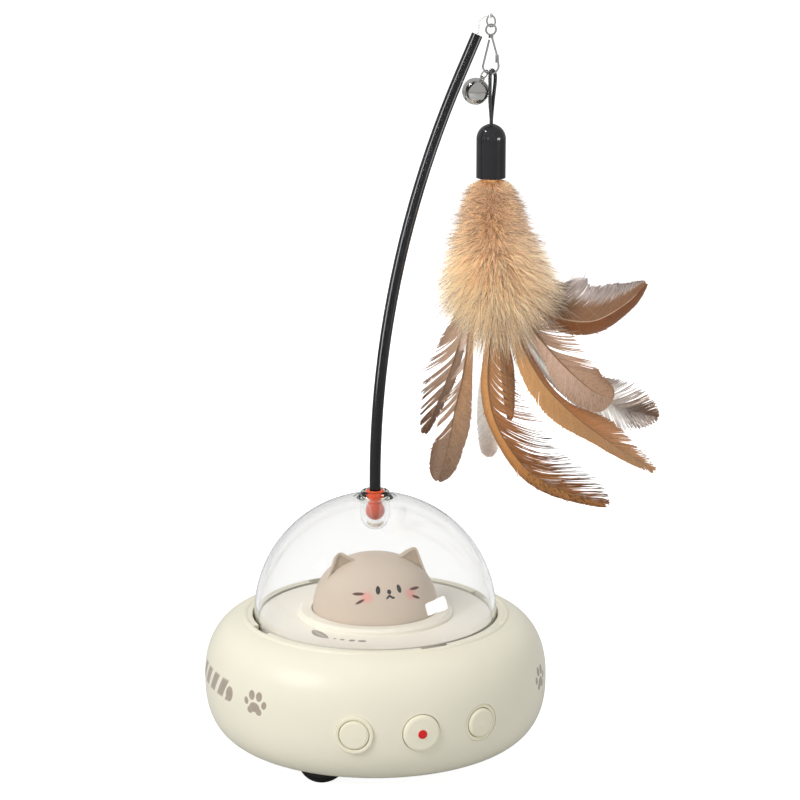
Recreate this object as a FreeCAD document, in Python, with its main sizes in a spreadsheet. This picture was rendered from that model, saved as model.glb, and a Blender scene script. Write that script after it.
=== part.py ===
import FreeCAD, Part
import math
import os
import re
import Sketcher
from FreeCAD import Placement, Rotation, Vector

# Electric cat teaser: a low round cart with a cat's head under a clear dome,
# a bent wand plugged into the dome, and a bell and a feather lure on its tip.
# Origin: on the base's axis at floor level. +Z up, the cat looks along -Y,
# and the wand bends towards +X. Millimetres.

SIZES = {
    # outer shell
    "base_radius": 60, "crest_inset": 0.84, "crest_rise": 0.2, "equator_height": 27.77,
    "belly_height": 6, "belly_inset": 14.4, "upper_power": 2.35, "lower_power": 2.48,
    "shell_wall": 2, "bead_reach": 3.2, "bead_radius": "=dome_radius + bead_reach",
    "bead_thickness": 2.5, "bead_rise": 0.55,
    "crest_radius": "=dome_radius - crest_inset",
    "crest_height": "=deck_height + crest_rise",
    # dome and its seat
    "dome_radius": 42.5, "dome_wall": 1.5, "groove_gap": 0.6, "deck_gap": 0.3,
    "skirt_depth": 6.2, "lug_reach": 2.6, "lug_height": 1.6, "lug_angle": 11,
    "lug_count": 4, "notch_angle": 13, "notch_centre_angle": 12.4, "twist_angle": 18,
    "seat_thickness": 1.8, "seat_clearance": 0.3, "seat_lip": 1.2,
    # deck, collar and cat
    "deck_height": 50, "deck_thickness": 2, "deck_leg": 2.2, "collar_outer": 27,
    "collar_inner": 22.4, "collar_rise": 2, "cat_radius": 22, "cat_height": 21,
    "cat_power": 2.3, "cat_wall": 1.6, "ear_tip": 2, "ear_front": 2.4,
    "ear_back": 3, "ear_taper": 0.62, "ear_rim": 0.76, "ear_recess": 0.5,
    # chassis plate and battery door
    "chassis_radius": "=base_radius - belly_inset", "chassis_thickness": 2,
    "chassis_clearance": 0.4, "rim_wall": 2.1, "rim_height": 5.2,
    "flange_thickness": 1.6, "flange_gap": 1,
    "flange_radius": "=crest_radius - flange_gap + (base_radius - crest_radius - shell_wall)"
                     " * (1 - ((equator_height - belly_height - rim_height + flange_thickness)"
                     " / (equator_height - belly_height - shell_wall)) ^ lower_power)"
                     " ^ (1 / lower_power)",
    "door_length": 26, "door_width": 34, "door_thickness": 1, "door_ledge": 2,
    "door_clearance": 0.3, "door_centre": 5,
    # drive wheels and their gears
    "wheel_radius": 9, "wheel_track": 54, "wheel_back": 26, "tyre_width": 6,
    "tyre_thickness": 1.8, "axle_radius": 1.5, "axle_inner": 15, "axle_slot": 0.8,
    "running_fit": 0.05, "bearing_gap": 0.5, "gear_width": 2.4, "gear_gap": 1.2,
    "gear_module": 0.5, "gear_teeth": 20, "pinion_teeth": 10, "pressure_angle": 25,
    "addendum_share": 0.8, "dedendum_share": 1.1, "backlash": 0.16, "motor_radius": 5,
    "motor_length": 15, "motor_gap": 1, "motor_rise_angle": 35, "motor_shaft_radius": 0.75,
    "shaft_seat": 2, "bracket_thickness": 2, "bracket_width": 6, "well_clearance": 1.4,
    # caster
    "caster_place": 33, "caster_radius": 5.5, "caster_width": 5, "caster_trail": 3.5,
    "caster_pin_radius": 2, "caster_axle_radius": 1, "fork_arm": 1.4, "fork_gap": 0.5,
    "fork_brace": 1, "cup_radius": 10.6, "cup_wall": 1.5, "cup_height": 15,
    "pin_clip_thickness": 0.8, "caster_edge": 1,
    # battery and boards
    "battery_length": 29, "battery_width": 26, "battery_height": 6, "battery_gap": 0.3,
    "board_length": 34, "board_width": 36, "board_thickness": 1.6, "board_height": 22,
    "board_centre": 8, "post_radius": 2, "post_inset": 2.6, "screw_radius": 1,
    "screw_head": 1.9, "screw_head_height": 1.2, "screw_gap": 0.2, "case_circle": 34.3,
    "case_angle": 70, "case_post": 2.6, "case_screw_length": 8, "chip_size": 7,
    "chip_height": 1.2, "driver_length": 5, "driver_width": 4, "driver_place": 8,
    "header_length": 6, "header_width": 5, "header_height": 4, "header_place": 9,
    # buttons
    "button_height": 26.3, "button_angle": 21.6, "button_radius": 5, "button_gap": 0.2,
    "ring_outer": 6.5, "button_rise": 1.2, "ring_rise": 0.8, "button_flange": 5.9,
    "flange_depth": 1, "stem_radius": 2, "button_travel": 0.8, "switch_size": 4.6,
    "switch_depth": 3.5, "switch_seat": 0.08, "nib_radius": 1.2, "nib_height": 0.8,
    "nib_gap": 0.1, "strip_radius": "=base_radius - strip_inset", "strip_inset": 11.5,
    "strip_thickness": 1.5, "strip_height": 21.8, "strip_angle": 62, "led_radius": 1.5,
    "led_rise": 0.35, "edge_break": 0.3,
    # charging port
    "port_width": 8.9, "port_height": 3.2, "port_depth": 7, "port_wall": 0.3,
    "port_level": 20, "port_inset": 1.7, "port_reach": "=base_radius - port_inset",
    "port_margin": 0.4, "shelf_thickness": 1, "shelf_inset": 3, "shelf_post": 2.5,
    # wand socket, plug and rod
    "lip_radius": 5, "lip_height": 3.6, "cup_depth": 14.2, "socket_wall": 1.6,
    "flare_radius": 7.5, "plug_radius": 3.3, "plug_fit": 0.06, "plug_length": 10.7,
    "plug_band": 2.4, "plug_edge": 0.4, "rod_radius": 1.95, "rod_bore": 1, "rod_fit": 0.04,
    "rod_depth": 5.6, "rod_foot": 2.4, "rod_bend_radius": 345, "rod_bend_angle": 24,
    "rod_tip": 15.2,
    # ring, snap clip and bell, hung below the rod's tip
    "line_radius": 0.25, "line_seat": 6, "line_out": 2, "ring_reach": 4.84,
    "ring_lift": 4.39, "ring_radius": 1.87, "ring_wire": 0.3, "ring_turn_angle": 58,
    "clip_loop": 1.75, "clip_wire": 0.35, "clip_neck": 0.5, "clip_leg": 11,
    "clip_spread": 5.6, "clip_bow": 2.3, "bow_lift": 1, "wire_gap": 0.12, "bell_radius": 4.6,
    "bell_wall": 0.4, "bell_slot": 0.8, "bell_slit_share": 0.72, "bell_lead": 2.86, "bell_back": 2.2,
    "bell_drop": 6.675, "bell_share": 0.27, "bell_turn_angle": 35, "ear_loop": 0.75,
    "ear_wire": 0.28, "pellet_radius": 1.6, "jump_wire": 0.25,
    # feather lure, hung from the bow
    "lure_lead": 0.35, "cord_radius": 0.62, "cord_rest": 0.086, "cord_gap": 1.25,
    "cord_slant": 0.8, "cord_seat": 3, "cap_radius": 5.05, "cap_drop": 18.2,
    "cap_length": 18.4, "cap_wall": 1, "core_gap": 0.1, "core_length": 8, "core_taper": 12,
    "core_tip": 1.4, "strand_gap": 0.15, "fluff_top_radius": 5.2, "fluff_radius": 18.5,
    "fluff_length": 51, "fluff_gap": 0.3, "feather_thickness": 0.5, "quill_half": 0.7,
    "tip_half": 0.6,
}

doc = FreeCAD.newDocument("cat_teaser")
sheet = doc.addObject("Spreadsheet::Sheet", "sizes")
for row, (alias, value) in enumerate(SIZES.items(), 1):
    sheet.set(f"A{row}", alias)
    sheet.set(f"B{row}", str(value))
    sheet.setAlias(f"B{row}", alias)
doc.recompute()

nodes = {}
WORD = re.compile(r"[a-z_]+")


def size(alias):
    """One driving size, read from the sheet."""
    return float(sheet.get(alias))


def linked(text):
    """Expression text whose size names point at the sheet."""
    return WORD.sub(lambda m: "sizes." + m[0] if m[0] in SIZES else m[0], str(text))


def worth(text):
    """The number that an expression text stands for now."""
    value = sheet.evalExpression(linked(text))
    return float(value.Value if hasattr(value, "Value") else value)


def bind(thing, **texts):
    """Ties properties to expressions of the sheet's sizes."""
    for name, text in texts.items():
        thing.setExpression(name, linked(text))
    return thing


def place(thing, x=0, y=0, z=0, turn=None):
    """Puts a sub-part in the part's frame, with its position tied to the sheet."""
    thing.Placement = Placement(Vector(), turn or Rotation())
    for axis, text in zip("xyz", (x, y, z)):
        thing.setExpression(f"Placement.Base.{axis}", linked(text))
    return thing


def node(label, thing):
    """Names a finished sub-part."""
    thing.Label = label
    nodes[label] = thing
    return thing


def box(name, length, width, height, x, y, z, turn=None):
    """A block given by its size and its centre in X and Y, standing on z."""
    thing = doc.addObject("Part::Box", name)
    bind(thing, Length=length, Width=width, Height=height)
    if turn is None:
        return place(thing, f"{x} - ({length}) / 2", f"{y} - ({width}) / 2", z)
    return place(thing, x, y, z, turn)


def rod(name, radius, length, x=0, y=0, z=0, turn=None):
    """A round bar that starts at x, y, z and runs along Z, or along the turned Z."""
    thing = bind(doc.addObject("Part::Cylinder", name), Radius=radius, Height=length)
    return place(thing, x, y, z, turn)


def cut(name, base, *tools):
    """The base with every tool taken out of it."""
    for count, tool in enumerate(tools):
        thing = doc.addObject("Part::Cut", f"{name}_cut{count}")
        thing.Base, thing.Tool = base, tool
        base = thing
    return base


def fuse(name, *shapes):
    """Several shapes made one."""
    thing = doc.addObject("Part::MultiFuse", name)
    thing.Shapes = list(shapes)
    return thing


def group(label, *shapes):
    """Like pieces kept as separate solids in one node."""
    thing = doc.addObject("Part::Compound", label)
    thing.Links = list(shapes)
    return node(label, thing)


def solid_feature(label, shape, base=None, turn=None):
    """A sub-part whose shape comes from Part's own functions."""
    thing = doc.addObject("Part::Feature", label)
    thing.Shape = shape
    here = Placement(base or Vector(), turn or Rotation())
    thing.Placement = here.multiply(shape.Placement)
    return thing


def sketch(body, plane, outline):
    """A closed outline of straight lines, each corner tied to the sheet."""
    drawing = body.newObject("Sketcher::SketchObject", body.Name + "_outline")
    origin = [o for o in body.Origin.OriginFeatures if o.Role == plane][0]
    drawing.AttachmentSupport = [(origin, "")]
    drawing.MapMode = "FlatFace"
    corners = [Vector(worth(u), worth(v), 0) for u, v in outline]
    count = len(corners)
    for i in range(count):
        drawing.addGeometry(Part.LineSegment(corners[i], corners[(i + 1) % count]))
    for i in range(count):
        drawing.addConstraint(Sketcher.Constraint("Coincident", i, 2, (i + 1) % count, 1))
    for i, (u, v) in enumerate(outline):
        for kind, text, value in (("DistanceX", u, corners[i].x), ("DistanceY", v, corners[i].y)):
            spot = drawing.addConstraint(Sketcher.Constraint(kind, -1, 1, i, 1, value))
            drawing.setExpression(f"Constraints[{spot}]", linked(text))
    return drawing


def turned(name, outline):
    """A body turned on a lathe: outline corners are (radius, height)."""
    body = doc.addObject("PartDesign::Body", name)
    drawing = sketch(body, "XZ_Plane", outline)
    feature = body.newObject("PartDesign::Revolution", name + "_turning")
    feature.Profile = drawing
    feature.ReferenceAxis = (drawing, ["V_Axis"])
    feature.Angle = 360
    return body


def plate(name, outline, thickness, plane="XY_Plane"):
    """A body padded from an outline."""
    body = doc.addObject("PartDesign::Body", name)
    feature = body.newObject("PartDesign::Pad", name + "_pad")
    feature.Profile = sketch(body, plane, outline)
    feature.setExpression("Length", linked(thickness))
    return body


def around(count, start, maker):
    """Calls maker with each of count even angles from start, in degrees."""
    return [maker(start + 360 * i / count) for i in range(int(count))]


def bowed(u, power):
    """The share of height that a superellipse keeps at the share u of its reach."""
    return (1 - min(u, 1) ** power) ** (1 / power)


def shell_half(reach, rise, power, start, steps=9):
    """Points (radius, height) of the shell from radius start out to its widest."""
    first = (start - size("crest_radius")) / reach
    angle = math.acos(first ** (power / 2)) if first > 0 else math.pi / 2
    points = []
    for i in range(steps):
        turn = angle * (1 - i / (steps - 1))
        points.append((size("crest_radius") + reach * math.cos(turn) ** (2 / power),
                       rise * math.sin(turn) ** (2 / power)))
    return points


def shell_skin(inset):
    """The shell's section line, inset from its outside, from groove to belly opening."""
    reach = size("base_radius") - size("crest_radius") - inset
    up = size("crest_height") - size("equator_height") - inset
    down = size("equator_height") - size("belly_height") - inset
    opening = size("chassis_radius") + size("chassis_clearance")
    middle = size("equator_height")
    top = [(r, middle + z) for r, z in shell_half(reach, up, size("upper_power"), GROOVE)]
    low = [(r, middle - z) for r, z in shell_half(reach, down, size("lower_power"), opening)]
    return top + low[::-1][1:]


def spun(outline, angle=360):
    """A solid turned about Z from a face in the XZ plane."""
    return Part.Face(outline).revolve(Vector(), Vector(0, 0, 1), angle)


def smooth(points):
    """One smooth edge through (radius, height) points."""
    curve = Part.BSplineCurve()
    curve.interpolate([Vector(r, 0, z) for r, z in points])
    return curve.toShape()


def line(a, b):
    """A straight edge between two (radius, height) points."""
    return Part.makeLine(Vector(a[0], 0, a[1]), Vector(b[0], 0, b[1]))


def outward(angle):
    """The level direction at an angle from the front, towards +X."""
    turn = math.radians(angle)
    return Vector(math.sin(turn), -math.cos(turn), 0)


def slab(length, width, height, centre):
    """A plain block about a centre."""
    corner = centre - Vector(length, width, height) / 2
    return Part.makeBox(length, width, height, corner)


def sector(inner, outer, low, high, middle, span):
    """A piece of a ring, span degrees wide, its middle at an angle from the front."""
    ring = Part.makeCylinder(outer, high - low, Vector(0, 0, low), Vector(0, 0, 1), span)
    ring = ring.cut(Part.makeCylinder(inner, high - low, Vector(0, 0, low)))
    ring.rotate(Vector(), Vector(0, 0, 1), middle - 90 - span / 2)
    return ring


GROOVE = size("dome_radius") + size("groove_gap")
SEAT_TOP = size("deck_height") - size("skirt_depth")
# An ear's three corners in front view, as shares of the head's radius and height
EAR_CORNERS = ((0.25, 0.89), (0.633, 1.157), (0.845, 0.557))
CASE_SCREWS = [(f"case_circle * cos({a})", f"case_circle * sin({a})")
               for a in ("case_angle", "180 - case_angle", "180 + case_angle", "-case_angle")]
BUTTONS = {"power": -size("button_angle"), "status": 0, "mode": size("button_angle")}
WHEELS = {"left": -1, "right": 1}


def wheel_well(side, low, high):
    """The gap that a drive wheel needs in the parts about it."""
    room, reach = size("well_clearance"), size("wheel_radius") + size("well_clearance")
    far = (size("wheel_track") + size("tyre_width")) / 2 + room
    near = gear_start() - room / 3
    middle = Vector(-size("wheel_back"), side * (near + far) / 2, (low + high) / 2)
    return slab(2 * reach, far - near, high - low, middle)


def gear_start():
    """How far from the middle the wheel gear's inner face lies."""
    inner = (size("wheel_track") - size("tyre_width")) / 2
    return inner - size("gear_gap") - size("gear_width")


def body_shell():
    """The smooth outer shell, with its bead, lug notches, button holes and port hole."""
    outer, inner = shell_skin(0), shell_skin(size("shell_wall"))
    wire = Part.Wire([smooth(outer), line(outer[-1], inner[-1]),
                      smooth(inner[::-1]), line(inner[0], outer[0])])
    shell = spun(wire)
    bead = size("bead_thickness") / 2
    at_bead = shell_height(size("bead_radius"))
    shell = shell.fuse(Part.makeTorus(size("bead_radius"), bead,
                                      Vector(0, 0, at_bead + size("bead_rise") - bead)))
    top = size("crest_height") + size("bead_thickness")
    for angle in around(size("lug_count"), size("notch_centre_angle"), float):
        reach = size("dome_radius") + size("lug_reach") + size("seat_clearance")
        shell = shell.cut(sector(size("dome_radius"), reach, SEAT_TOP, top, angle,
                                 size("notch_angle")))
    hole = size("ring_outer") + size("running_fit")
    for angle in BUTTONS.values():
        way = outward(angle)
        base = way * size("strip_radius") + Vector(0, 0, size("button_height"))
        shell = shell.cut(Part.makeCylinder(hole, size("base_radius"), base, way))
    for side in WHEELS.values():
        high = size("belly_height") + size("shell_wall") + size("well_clearance")
        shell = shell.cut(wheel_well(side, 0, high))
    margin = 2 * size("port_margin")
    port = slab(size("port_width") + margin, size("base_radius"),
                size("port_height") + margin,
                Vector(0, size("base_radius"), size("port_level")))
    shell = shell.cut(port)
    return node("body_shell", solid_feature("body_shell", shell.removeSplitter()))


def shell_height(radius):
    """Height of the shell's upper outside at a radius."""
    reach = size("base_radius") - size("crest_radius")
    rise = size("crest_height") - size("equator_height")
    share = (radius - size("crest_radius")) / reach
    return size("equator_height") + rise * bowed(share, size("upper_power"))


def dome():
    """The clear dome with its wand socket and four locking lugs."""
    outer, wall = size("dome_radius"), size("dome_wall")
    inner, base = outer - wall, size("deck_height")
    lip, bore = size("lip_radius"), size("plug_radius") + size("plug_fit")
    cup, flare = lip + 0.04 * lip, size("flare_radius")
    top = base + outer + size("lip_height") / 2
    floor = top - size("cup_depth")
    on_outer = base + math.sqrt(outer ** 2 - flare ** 2)
    on_inner = base + math.sqrt(inner ** 2 - cup ** 2)

    def arc(a, via, b):
        return Part.Arc(*(Vector(r, 0, z) for r, z in (a, via, b))).toShape()

    def ball(radius, angle):
        turn = math.radians(angle)
        return radius * math.cos(turn), base + radius * math.sin(turn)

    foot = SEAT_TOP + size("seat_clearance")
    rim = top - lip * 0.12
    hollow = floor + size("socket_wall")
    edges = [
        line((inner, foot), (outer, foot)), line((outer, foot), (outer, base)),
        arc((outer, base), ball(outer, 40), (flare, on_outer)),
        arc((flare, on_outer), (0.5 * (flare + lip) - 0.35, 0.5 * (on_outer + rim) - 0.55),
            (lip, rim)),
        arc((lip, rim), (0.5 * (lip + bore), top), (bore, rim)),
        line((bore, rim), (bore, hollow + bore)),
        arc((bore, hollow + bore), (bore * math.sqrt(0.5), hollow + bore * (1 - math.sqrt(0.5))),
            (0, hollow)),
        line((0, hollow), (0, floor)),
        arc((0, floor), (cup * math.sqrt(0.5), floor + cup * (1 - math.sqrt(0.5))),
            (cup, floor + cup)),
        line((cup, floor + cup), (cup, on_inner)),
        arc((cup, on_inner), ball(inner, 40), (inner, base)),
        line((inner, base), (inner, foot)),
    ]
    shape = spun(Part.Wire(Part.__sortEdges__(edges)))
    first = size("notch_centre_angle") - size("twist_angle")
    for angle in around(size("lug_count"), first, float):
        lug = sector(inner, outer + size("lug_reach"), foot, foot + size("lug_height"),
                     angle, size("lug_angle"))
        shape = shape.fuse(lug)
    return node("dome", solid_feature("dome", shape.removeSplitter()))


def deck_parts():
    """The seat ring, the deck over it and the collar about the cat."""
    reach = "dome_radius + lug_reach + 3 * seat_clearance"
    low = "deck_height - skirt_depth - seat_thickness"
    top = f"{low} + seat_thickness"
    stand = "belly_height + chassis_thickness"
    inner = "dome_radius - dome_wall - deck_gap"
    ring = turned("seat_ring", [
        (f"{inner} - 4 * deck_leg", low), (f"{reach} + seat_lip", low),
        (f"{reach} + seat_lip", f"{low} + 2 * seat_thickness"),
        (reach, f"{low} + 2 * seat_thickness"), (reach, top), (f"{inner} - 4 * deck_leg", top)])
    posts = [cut(f"seat_post{i}",
                 rod(f"seat_post_bar{i}", "case_post", f"{low} - ({stand})", x, y, stand),
                 rod(f"seat_post_bore{i}", "screw_radius", "case_screw_length", x, y, stand))
             for i, (x, y) in enumerate(CASE_SCREWS)]
    node("dome_seat", fuse("dome_seat", ring, *posts))
    node("deck_plate", turned("deck_plate", [
        ("cat_radius - 2 * cat_wall", "deck_height - deck_thickness"),
        (f"{inner} - deck_leg", "deck_height - deck_thickness"), (f"{inner} - deck_leg", top),
        (inner, top), (inner, "deck_height"), ("cat_radius - 2 * cat_wall", "deck_height")]))
    node("collar_ring", turned("collar_ring", [
        ("collar_inner", "deck_height"), ("collar_outer", "deck_height"),
        ("collar_outer", "deck_height + collar_rise / 2"),
        ("collar_outer - collar_rise / 2", "deck_height + collar_rise"),
        ("collar_inner", "deck_height + collar_rise")]))


def cat_ear(side):
    """A three-cornered ear with a rounded tip, hollowed a little in front, smaller behind."""
    corners = [Vector(side * size("cat_radius") * out, 0,
                      size("deck_height") + size("cat_height") * up) for out, up in EAR_CORNERS]
    middle = (corners[0] + corners[1] + corners[2]) / 3

    def outline(share, place):
        ring = [middle + (corner - middle) * share + Vector(0, place, 0) for corner in corners]
        return Part.makePolygon([*ring, ring[0]])

    def tip_edge(shape):
        return max(shape.Edges, key=lambda edge: edge.CenterOfMass.z)

    front, back = size("ear_front"), size("ear_back")
    ear = Part.makeLoft([outline(1, -front), outline(size("ear_taper"), back)], True, True)
    ear = ear.makeFillet(size("ear_tip"), [tip_edge(ear)])
    dent = Part.Face(outline(size("ear_rim"), -front)).extrude(Vector(0, size("ear_recess"), 0))
    return ear.cut(dent.makeFillet(size("ear_tip") / 2, [tip_edge(dent)]))


def cat_head():
    """The hollow cat's head with its two ears."""
    def profile(radius, height, base, steps=8):
        power = size("cat_power")
        return [(radius * math.cos(t) ** (2 / power), base + height * math.sin(t) ** (2 / power))
                for t in (math.pi / 2 * i / (steps - 1) for i in range(steps))]

    def mound(radius, height, base):
        points = profile(radius, height, base)
        points[-1] = (0, base + height)
        return spun(Part.Wire([smooth(points), line(points[-1], (0, base)),
                               line((0, base), points[0])]))

    base, wall = size("deck_height"), size("cat_wall")
    head = mound(size("cat_radius"), size("cat_height"), base)
    for side in (-1, 1):
        head = head.fuse(cat_ear(side))
    hollow = mound(size("cat_radius") - wall, size("cat_height") - wall, base)
    return node("cat_head", solid_feature("cat_head", head.cut(hollow).removeSplitter()))


def chassis():
    """The moulded bottom plate, the battery door in it and the battery on it."""
    low, top = "belly_height", "belly_height + chassis_thickness"
    rim, ledge = "belly_height + rim_height", "belly_height + rim_height - flange_thickness"
    dish = turned("chassis_dish", [
        (0, low), ("chassis_radius", low), ("chassis_radius", ledge),
        ("flange_radius", ledge), ("flange_radius", rim),
        ("chassis_radius - rim_wall", rim), ("chassis_radius - rim_wall", top), (0, top)])
    cup = rod("cup_outside", "cup_radius + cup_wall", f"cup_height + cup_wall - ({low})",
              x="caster_place", z=low)
    whole = fuse("chassis_whole", dish, cup, motor_cradle(), port_bracket(), *board_posts())
    tools = [rod("cup_inside", "cup_radius", "cup_height", x="caster_place"),
             rod("swivel_bore", "caster_pin_radius + running_fit", "2 * cup_height",
                 x="caster_place"),
             box("door_recess", "door_length + 2 * door_clearance",
                 "door_width + 2 * door_clearance", "door_thickness + door_clearance",
                 "door_centre", 0, low),
             box("door_hole", "door_length - 2 * door_ledge", "door_width - 2 * door_ledge",
                 "2 * belly_height", "door_centre", 0, 0)]
    tools += [solid_feature(f"well_{side}", wheel_well(sign, 0, 3 * size("belly_height")))
              for side, sign in WHEELS.items()]
    for i, (x, y) in enumerate(CASE_SCREWS):
        tools.append(rod(f"case_hole{i}", "screw_radius + running_fit", "2 * belly_height", x, y))
        tools.append(rod(f"case_sink{i}", "screw_head + screw_gap",
                         f"{low} + screw_head_height + screw_gap", x, y))
    for side, sign in WHEELS.items():
        tools.append(box(f"axle_slot_{side}", "2 * axle_radius + axle_slot", "axle_inner",
                         "belly_height", "-wheel_back", f"{sign} * (axle_inner * 1.5 - axle_slot)",
                         f"{top} - axle_slot"))
    node("chassis_plate", cut("chassis", whole, *tools))
    node("battery_door", box("battery_door", "door_length", "door_width", "door_thickness",
                             "door_centre", 0, low))
    node("battery_cell", box("battery_cell", "battery_length", "battery_width",
                             "battery_height", "door_centre", 0, f"{top} + battery_gap"))


def screw(name, x, y, z, length, head_down=True):
    """A pan-head screw whose head is at z and whose shank runs up or down from it."""
    sign = 1 if head_down else -1
    under = f"{z} - screw_head_height"
    head = rod(name + "_head", "screw_head", "screw_head_height", x, y,
               z if head_down else under)
    shank = rod(name + "_shank", "screw_radius", length, x, y,
                f"{z} + screw_head_height" if head_down else f"{under} - ({length})")
    return fuse(f"{name}_screw{sign}", head, shank)


def gear_outline(teeth, shift=0):
    """An involute gear's outline as a wire in the XY plane, one tooth about +X."""
    module, pressure = size("gear_module"), math.radians(size("pressure_angle"))
    pitch = module * teeth / 2
    base = pitch * math.cos(pressure)
    tip = pitch + module * size("addendum_share")
    root = pitch - module * size("dedendum_share")
    involute = math.tan(pressure) - pressure
    half = math.pi / (2 * teeth) - size("backlash") / (4 * pitch) + involute
    points = []
    start = max(base, root)
    for tooth in range(int(teeth)):
        middle = 2 * math.pi * tooth / teeth + shift
        flank = []
        for i in range(4):
            radius = start + (tip - start) * i / 3
            roll = math.sqrt(max((radius / base) ** 2 - 1, 0))
            flank.append((radius, half - (roll - math.atan(roll))))
        low = [(root, flank[0][1])] if root < base else []
        left = low + flank
        for radius, angle in [(r, -a) for r, a in left] + left[::-1]:
            points.append(Vector(radius * math.cos(middle + angle),
                                 radius * math.sin(middle + angle), 0))
    return Part.makePolygon(points + points[:1])


def along_y(shape, side, x, z, start):
    """Turns a shape built on +Z to run outwards along Y from the distance start."""
    shape.rotate(Vector(), Vector(1, 0, 0), -90 * side)
    shape.translate(Vector(x, side * start, z))
    return shape


def drive_places():
    """Where the wheel's axis, the pinion's axis and the gear pair's tooth phases lie."""
    rise = math.radians(size("motor_rise_angle"))
    teeth = size("gear_teeth") + size("pinion_teeth")
    apart = size("gear_module") * teeth / 2
    wheel = (-size("wheel_back"), size("wheel_radius"))
    pinion = (wheel[0] + apart * math.cos(rise), wheel[1] + apart * math.sin(rise))
    return wheel, pinion, rise


def drive(side, sign):
    """One drive wheel with its tyre, axle, gear, pinion, motor and brackets."""
    (wx, wz), (px, pz), rise = drive_places()
    half, middle = size("tyre_width") / 2, size("wheel_track") / 2
    fit, axle = size("running_fit"), size("axle_radius")
    width, near = size("gear_width"), gear_start()
    # seen along the outward axis, the line to the pinion lies at this angle
    line_up = -sign * rise
    tread = size("wheel_radius") - size("tyre_thickness")

    def bar(radius, length, start, x=wx, z=wz):
        return along_y(Part.makeCylinder(radius, length), sign, x, z, start)

    def part(label, shape):
        return node(f"{side}_{label}", solid_feature(f"{side}_{label}", shape))

    hub = bar(tread, 2 * half, middle - half).cut(bar(axle, 2 * half, middle - half))
    for i in range(5):
        hole = Part.makeCylinder(tread * 0.17, 2 * half, Vector(tread * 0.62, 0, 0))
        hole.rotate(Vector(), Vector(0, 0, 1), 72 * i)
        hub = hub.cut(along_y(hole, sign, wx, wz, middle - half))
    part("wheel_hub", hub)
    tyre = bar(size("wheel_radius"), 2 * half, middle - half)
    tyre = tyre.makeFillet(size("tyre_thickness") / 2, [e for e in tyre.Edges
                                                        if e.Curve.TypeId == "Part::GeomCircle"])
    part("tyre", tyre.cut(bar(tread, 2 * half, middle - half)))
    part("axle", bar(axle, middle + half - size("axle_inner"), size("axle_inner")))
    gear = Part.Face(gear_outline(size("gear_teeth"), line_up)).extrude(Vector(0, 0, width))
    part("wheel_gear", along_y(gear, sign, wx, wz, near).cut(bar(axle, width, near)))
    gap_phase = line_up + math.pi + math.pi / size("pinion_teeth")
    pinion = Part.Face(gear_outline(size("pinion_teeth"), gap_phase)).extrude(
        Vector(0, 0, width))
    can_end = size("motor_gap") / 2 + size("motor_length")
    seat = size("shaft_seat")
    shaft = bar(size("motor_shaft_radius"), near + width - can_end + seat, can_end - seat,
                px, pz)
    part("pinion", along_y(pinion, sign, px, pz, near).fuse(shaft).removeSplitter())
    can = bar(size("motor_radius"), size("motor_length"), size("motor_gap") / 2, px, pz)
    can = can.cut(bar(size("motor_shaft_radius") + fit, 1.5 * seat, can_end - 1.5 * seat,
                      px, pz))
    part("motor", can)
    floor = size("belly_height") + size("chassis_thickness")
    gap = size("bearing_gap")
    start, thick = size("axle_inner") + gap, near - size("axle_inner") - 2 * gap
    tall = wz + axle + size("bracket_thickness") - floor
    wall = slab(size("bracket_width"), thick, tall,
                Vector(wx, sign * (start + thick / 2), floor + tall / 2))
    return wall.cut(bar(axle + fit, 3 * thick, start - thick))


def drives():
    """Both drives, their axle brackets and the cradle that holds the motors."""
    walls = [drive(side, sign) for side, sign in WHEELS.items()]
    node("axle_bearings", solid_feature("axle_bearings", Part.makeCompound(walls)))


def motor_cradle():
    """The saddle on the chassis that both motors lie in."""
    px, pz = drive_places()[1]
    floor = size("belly_height") + size("chassis_thickness")
    cradle = slab(1.5 * size("motor_radius"), 1.4 * size("motor_length"), pz - floor,
                  Vector(px, 0, (pz + floor) / 2))
    reach = 2 * size("motor_length")
    bore = Part.makeCylinder(size("motor_radius") + 2 * size("running_fit"), 2 * reach,
                             Vector(px, -reach, pz), Vector(0, 1, 0))
    return solid_feature("motor_cradle", cradle.cut(bore))


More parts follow.
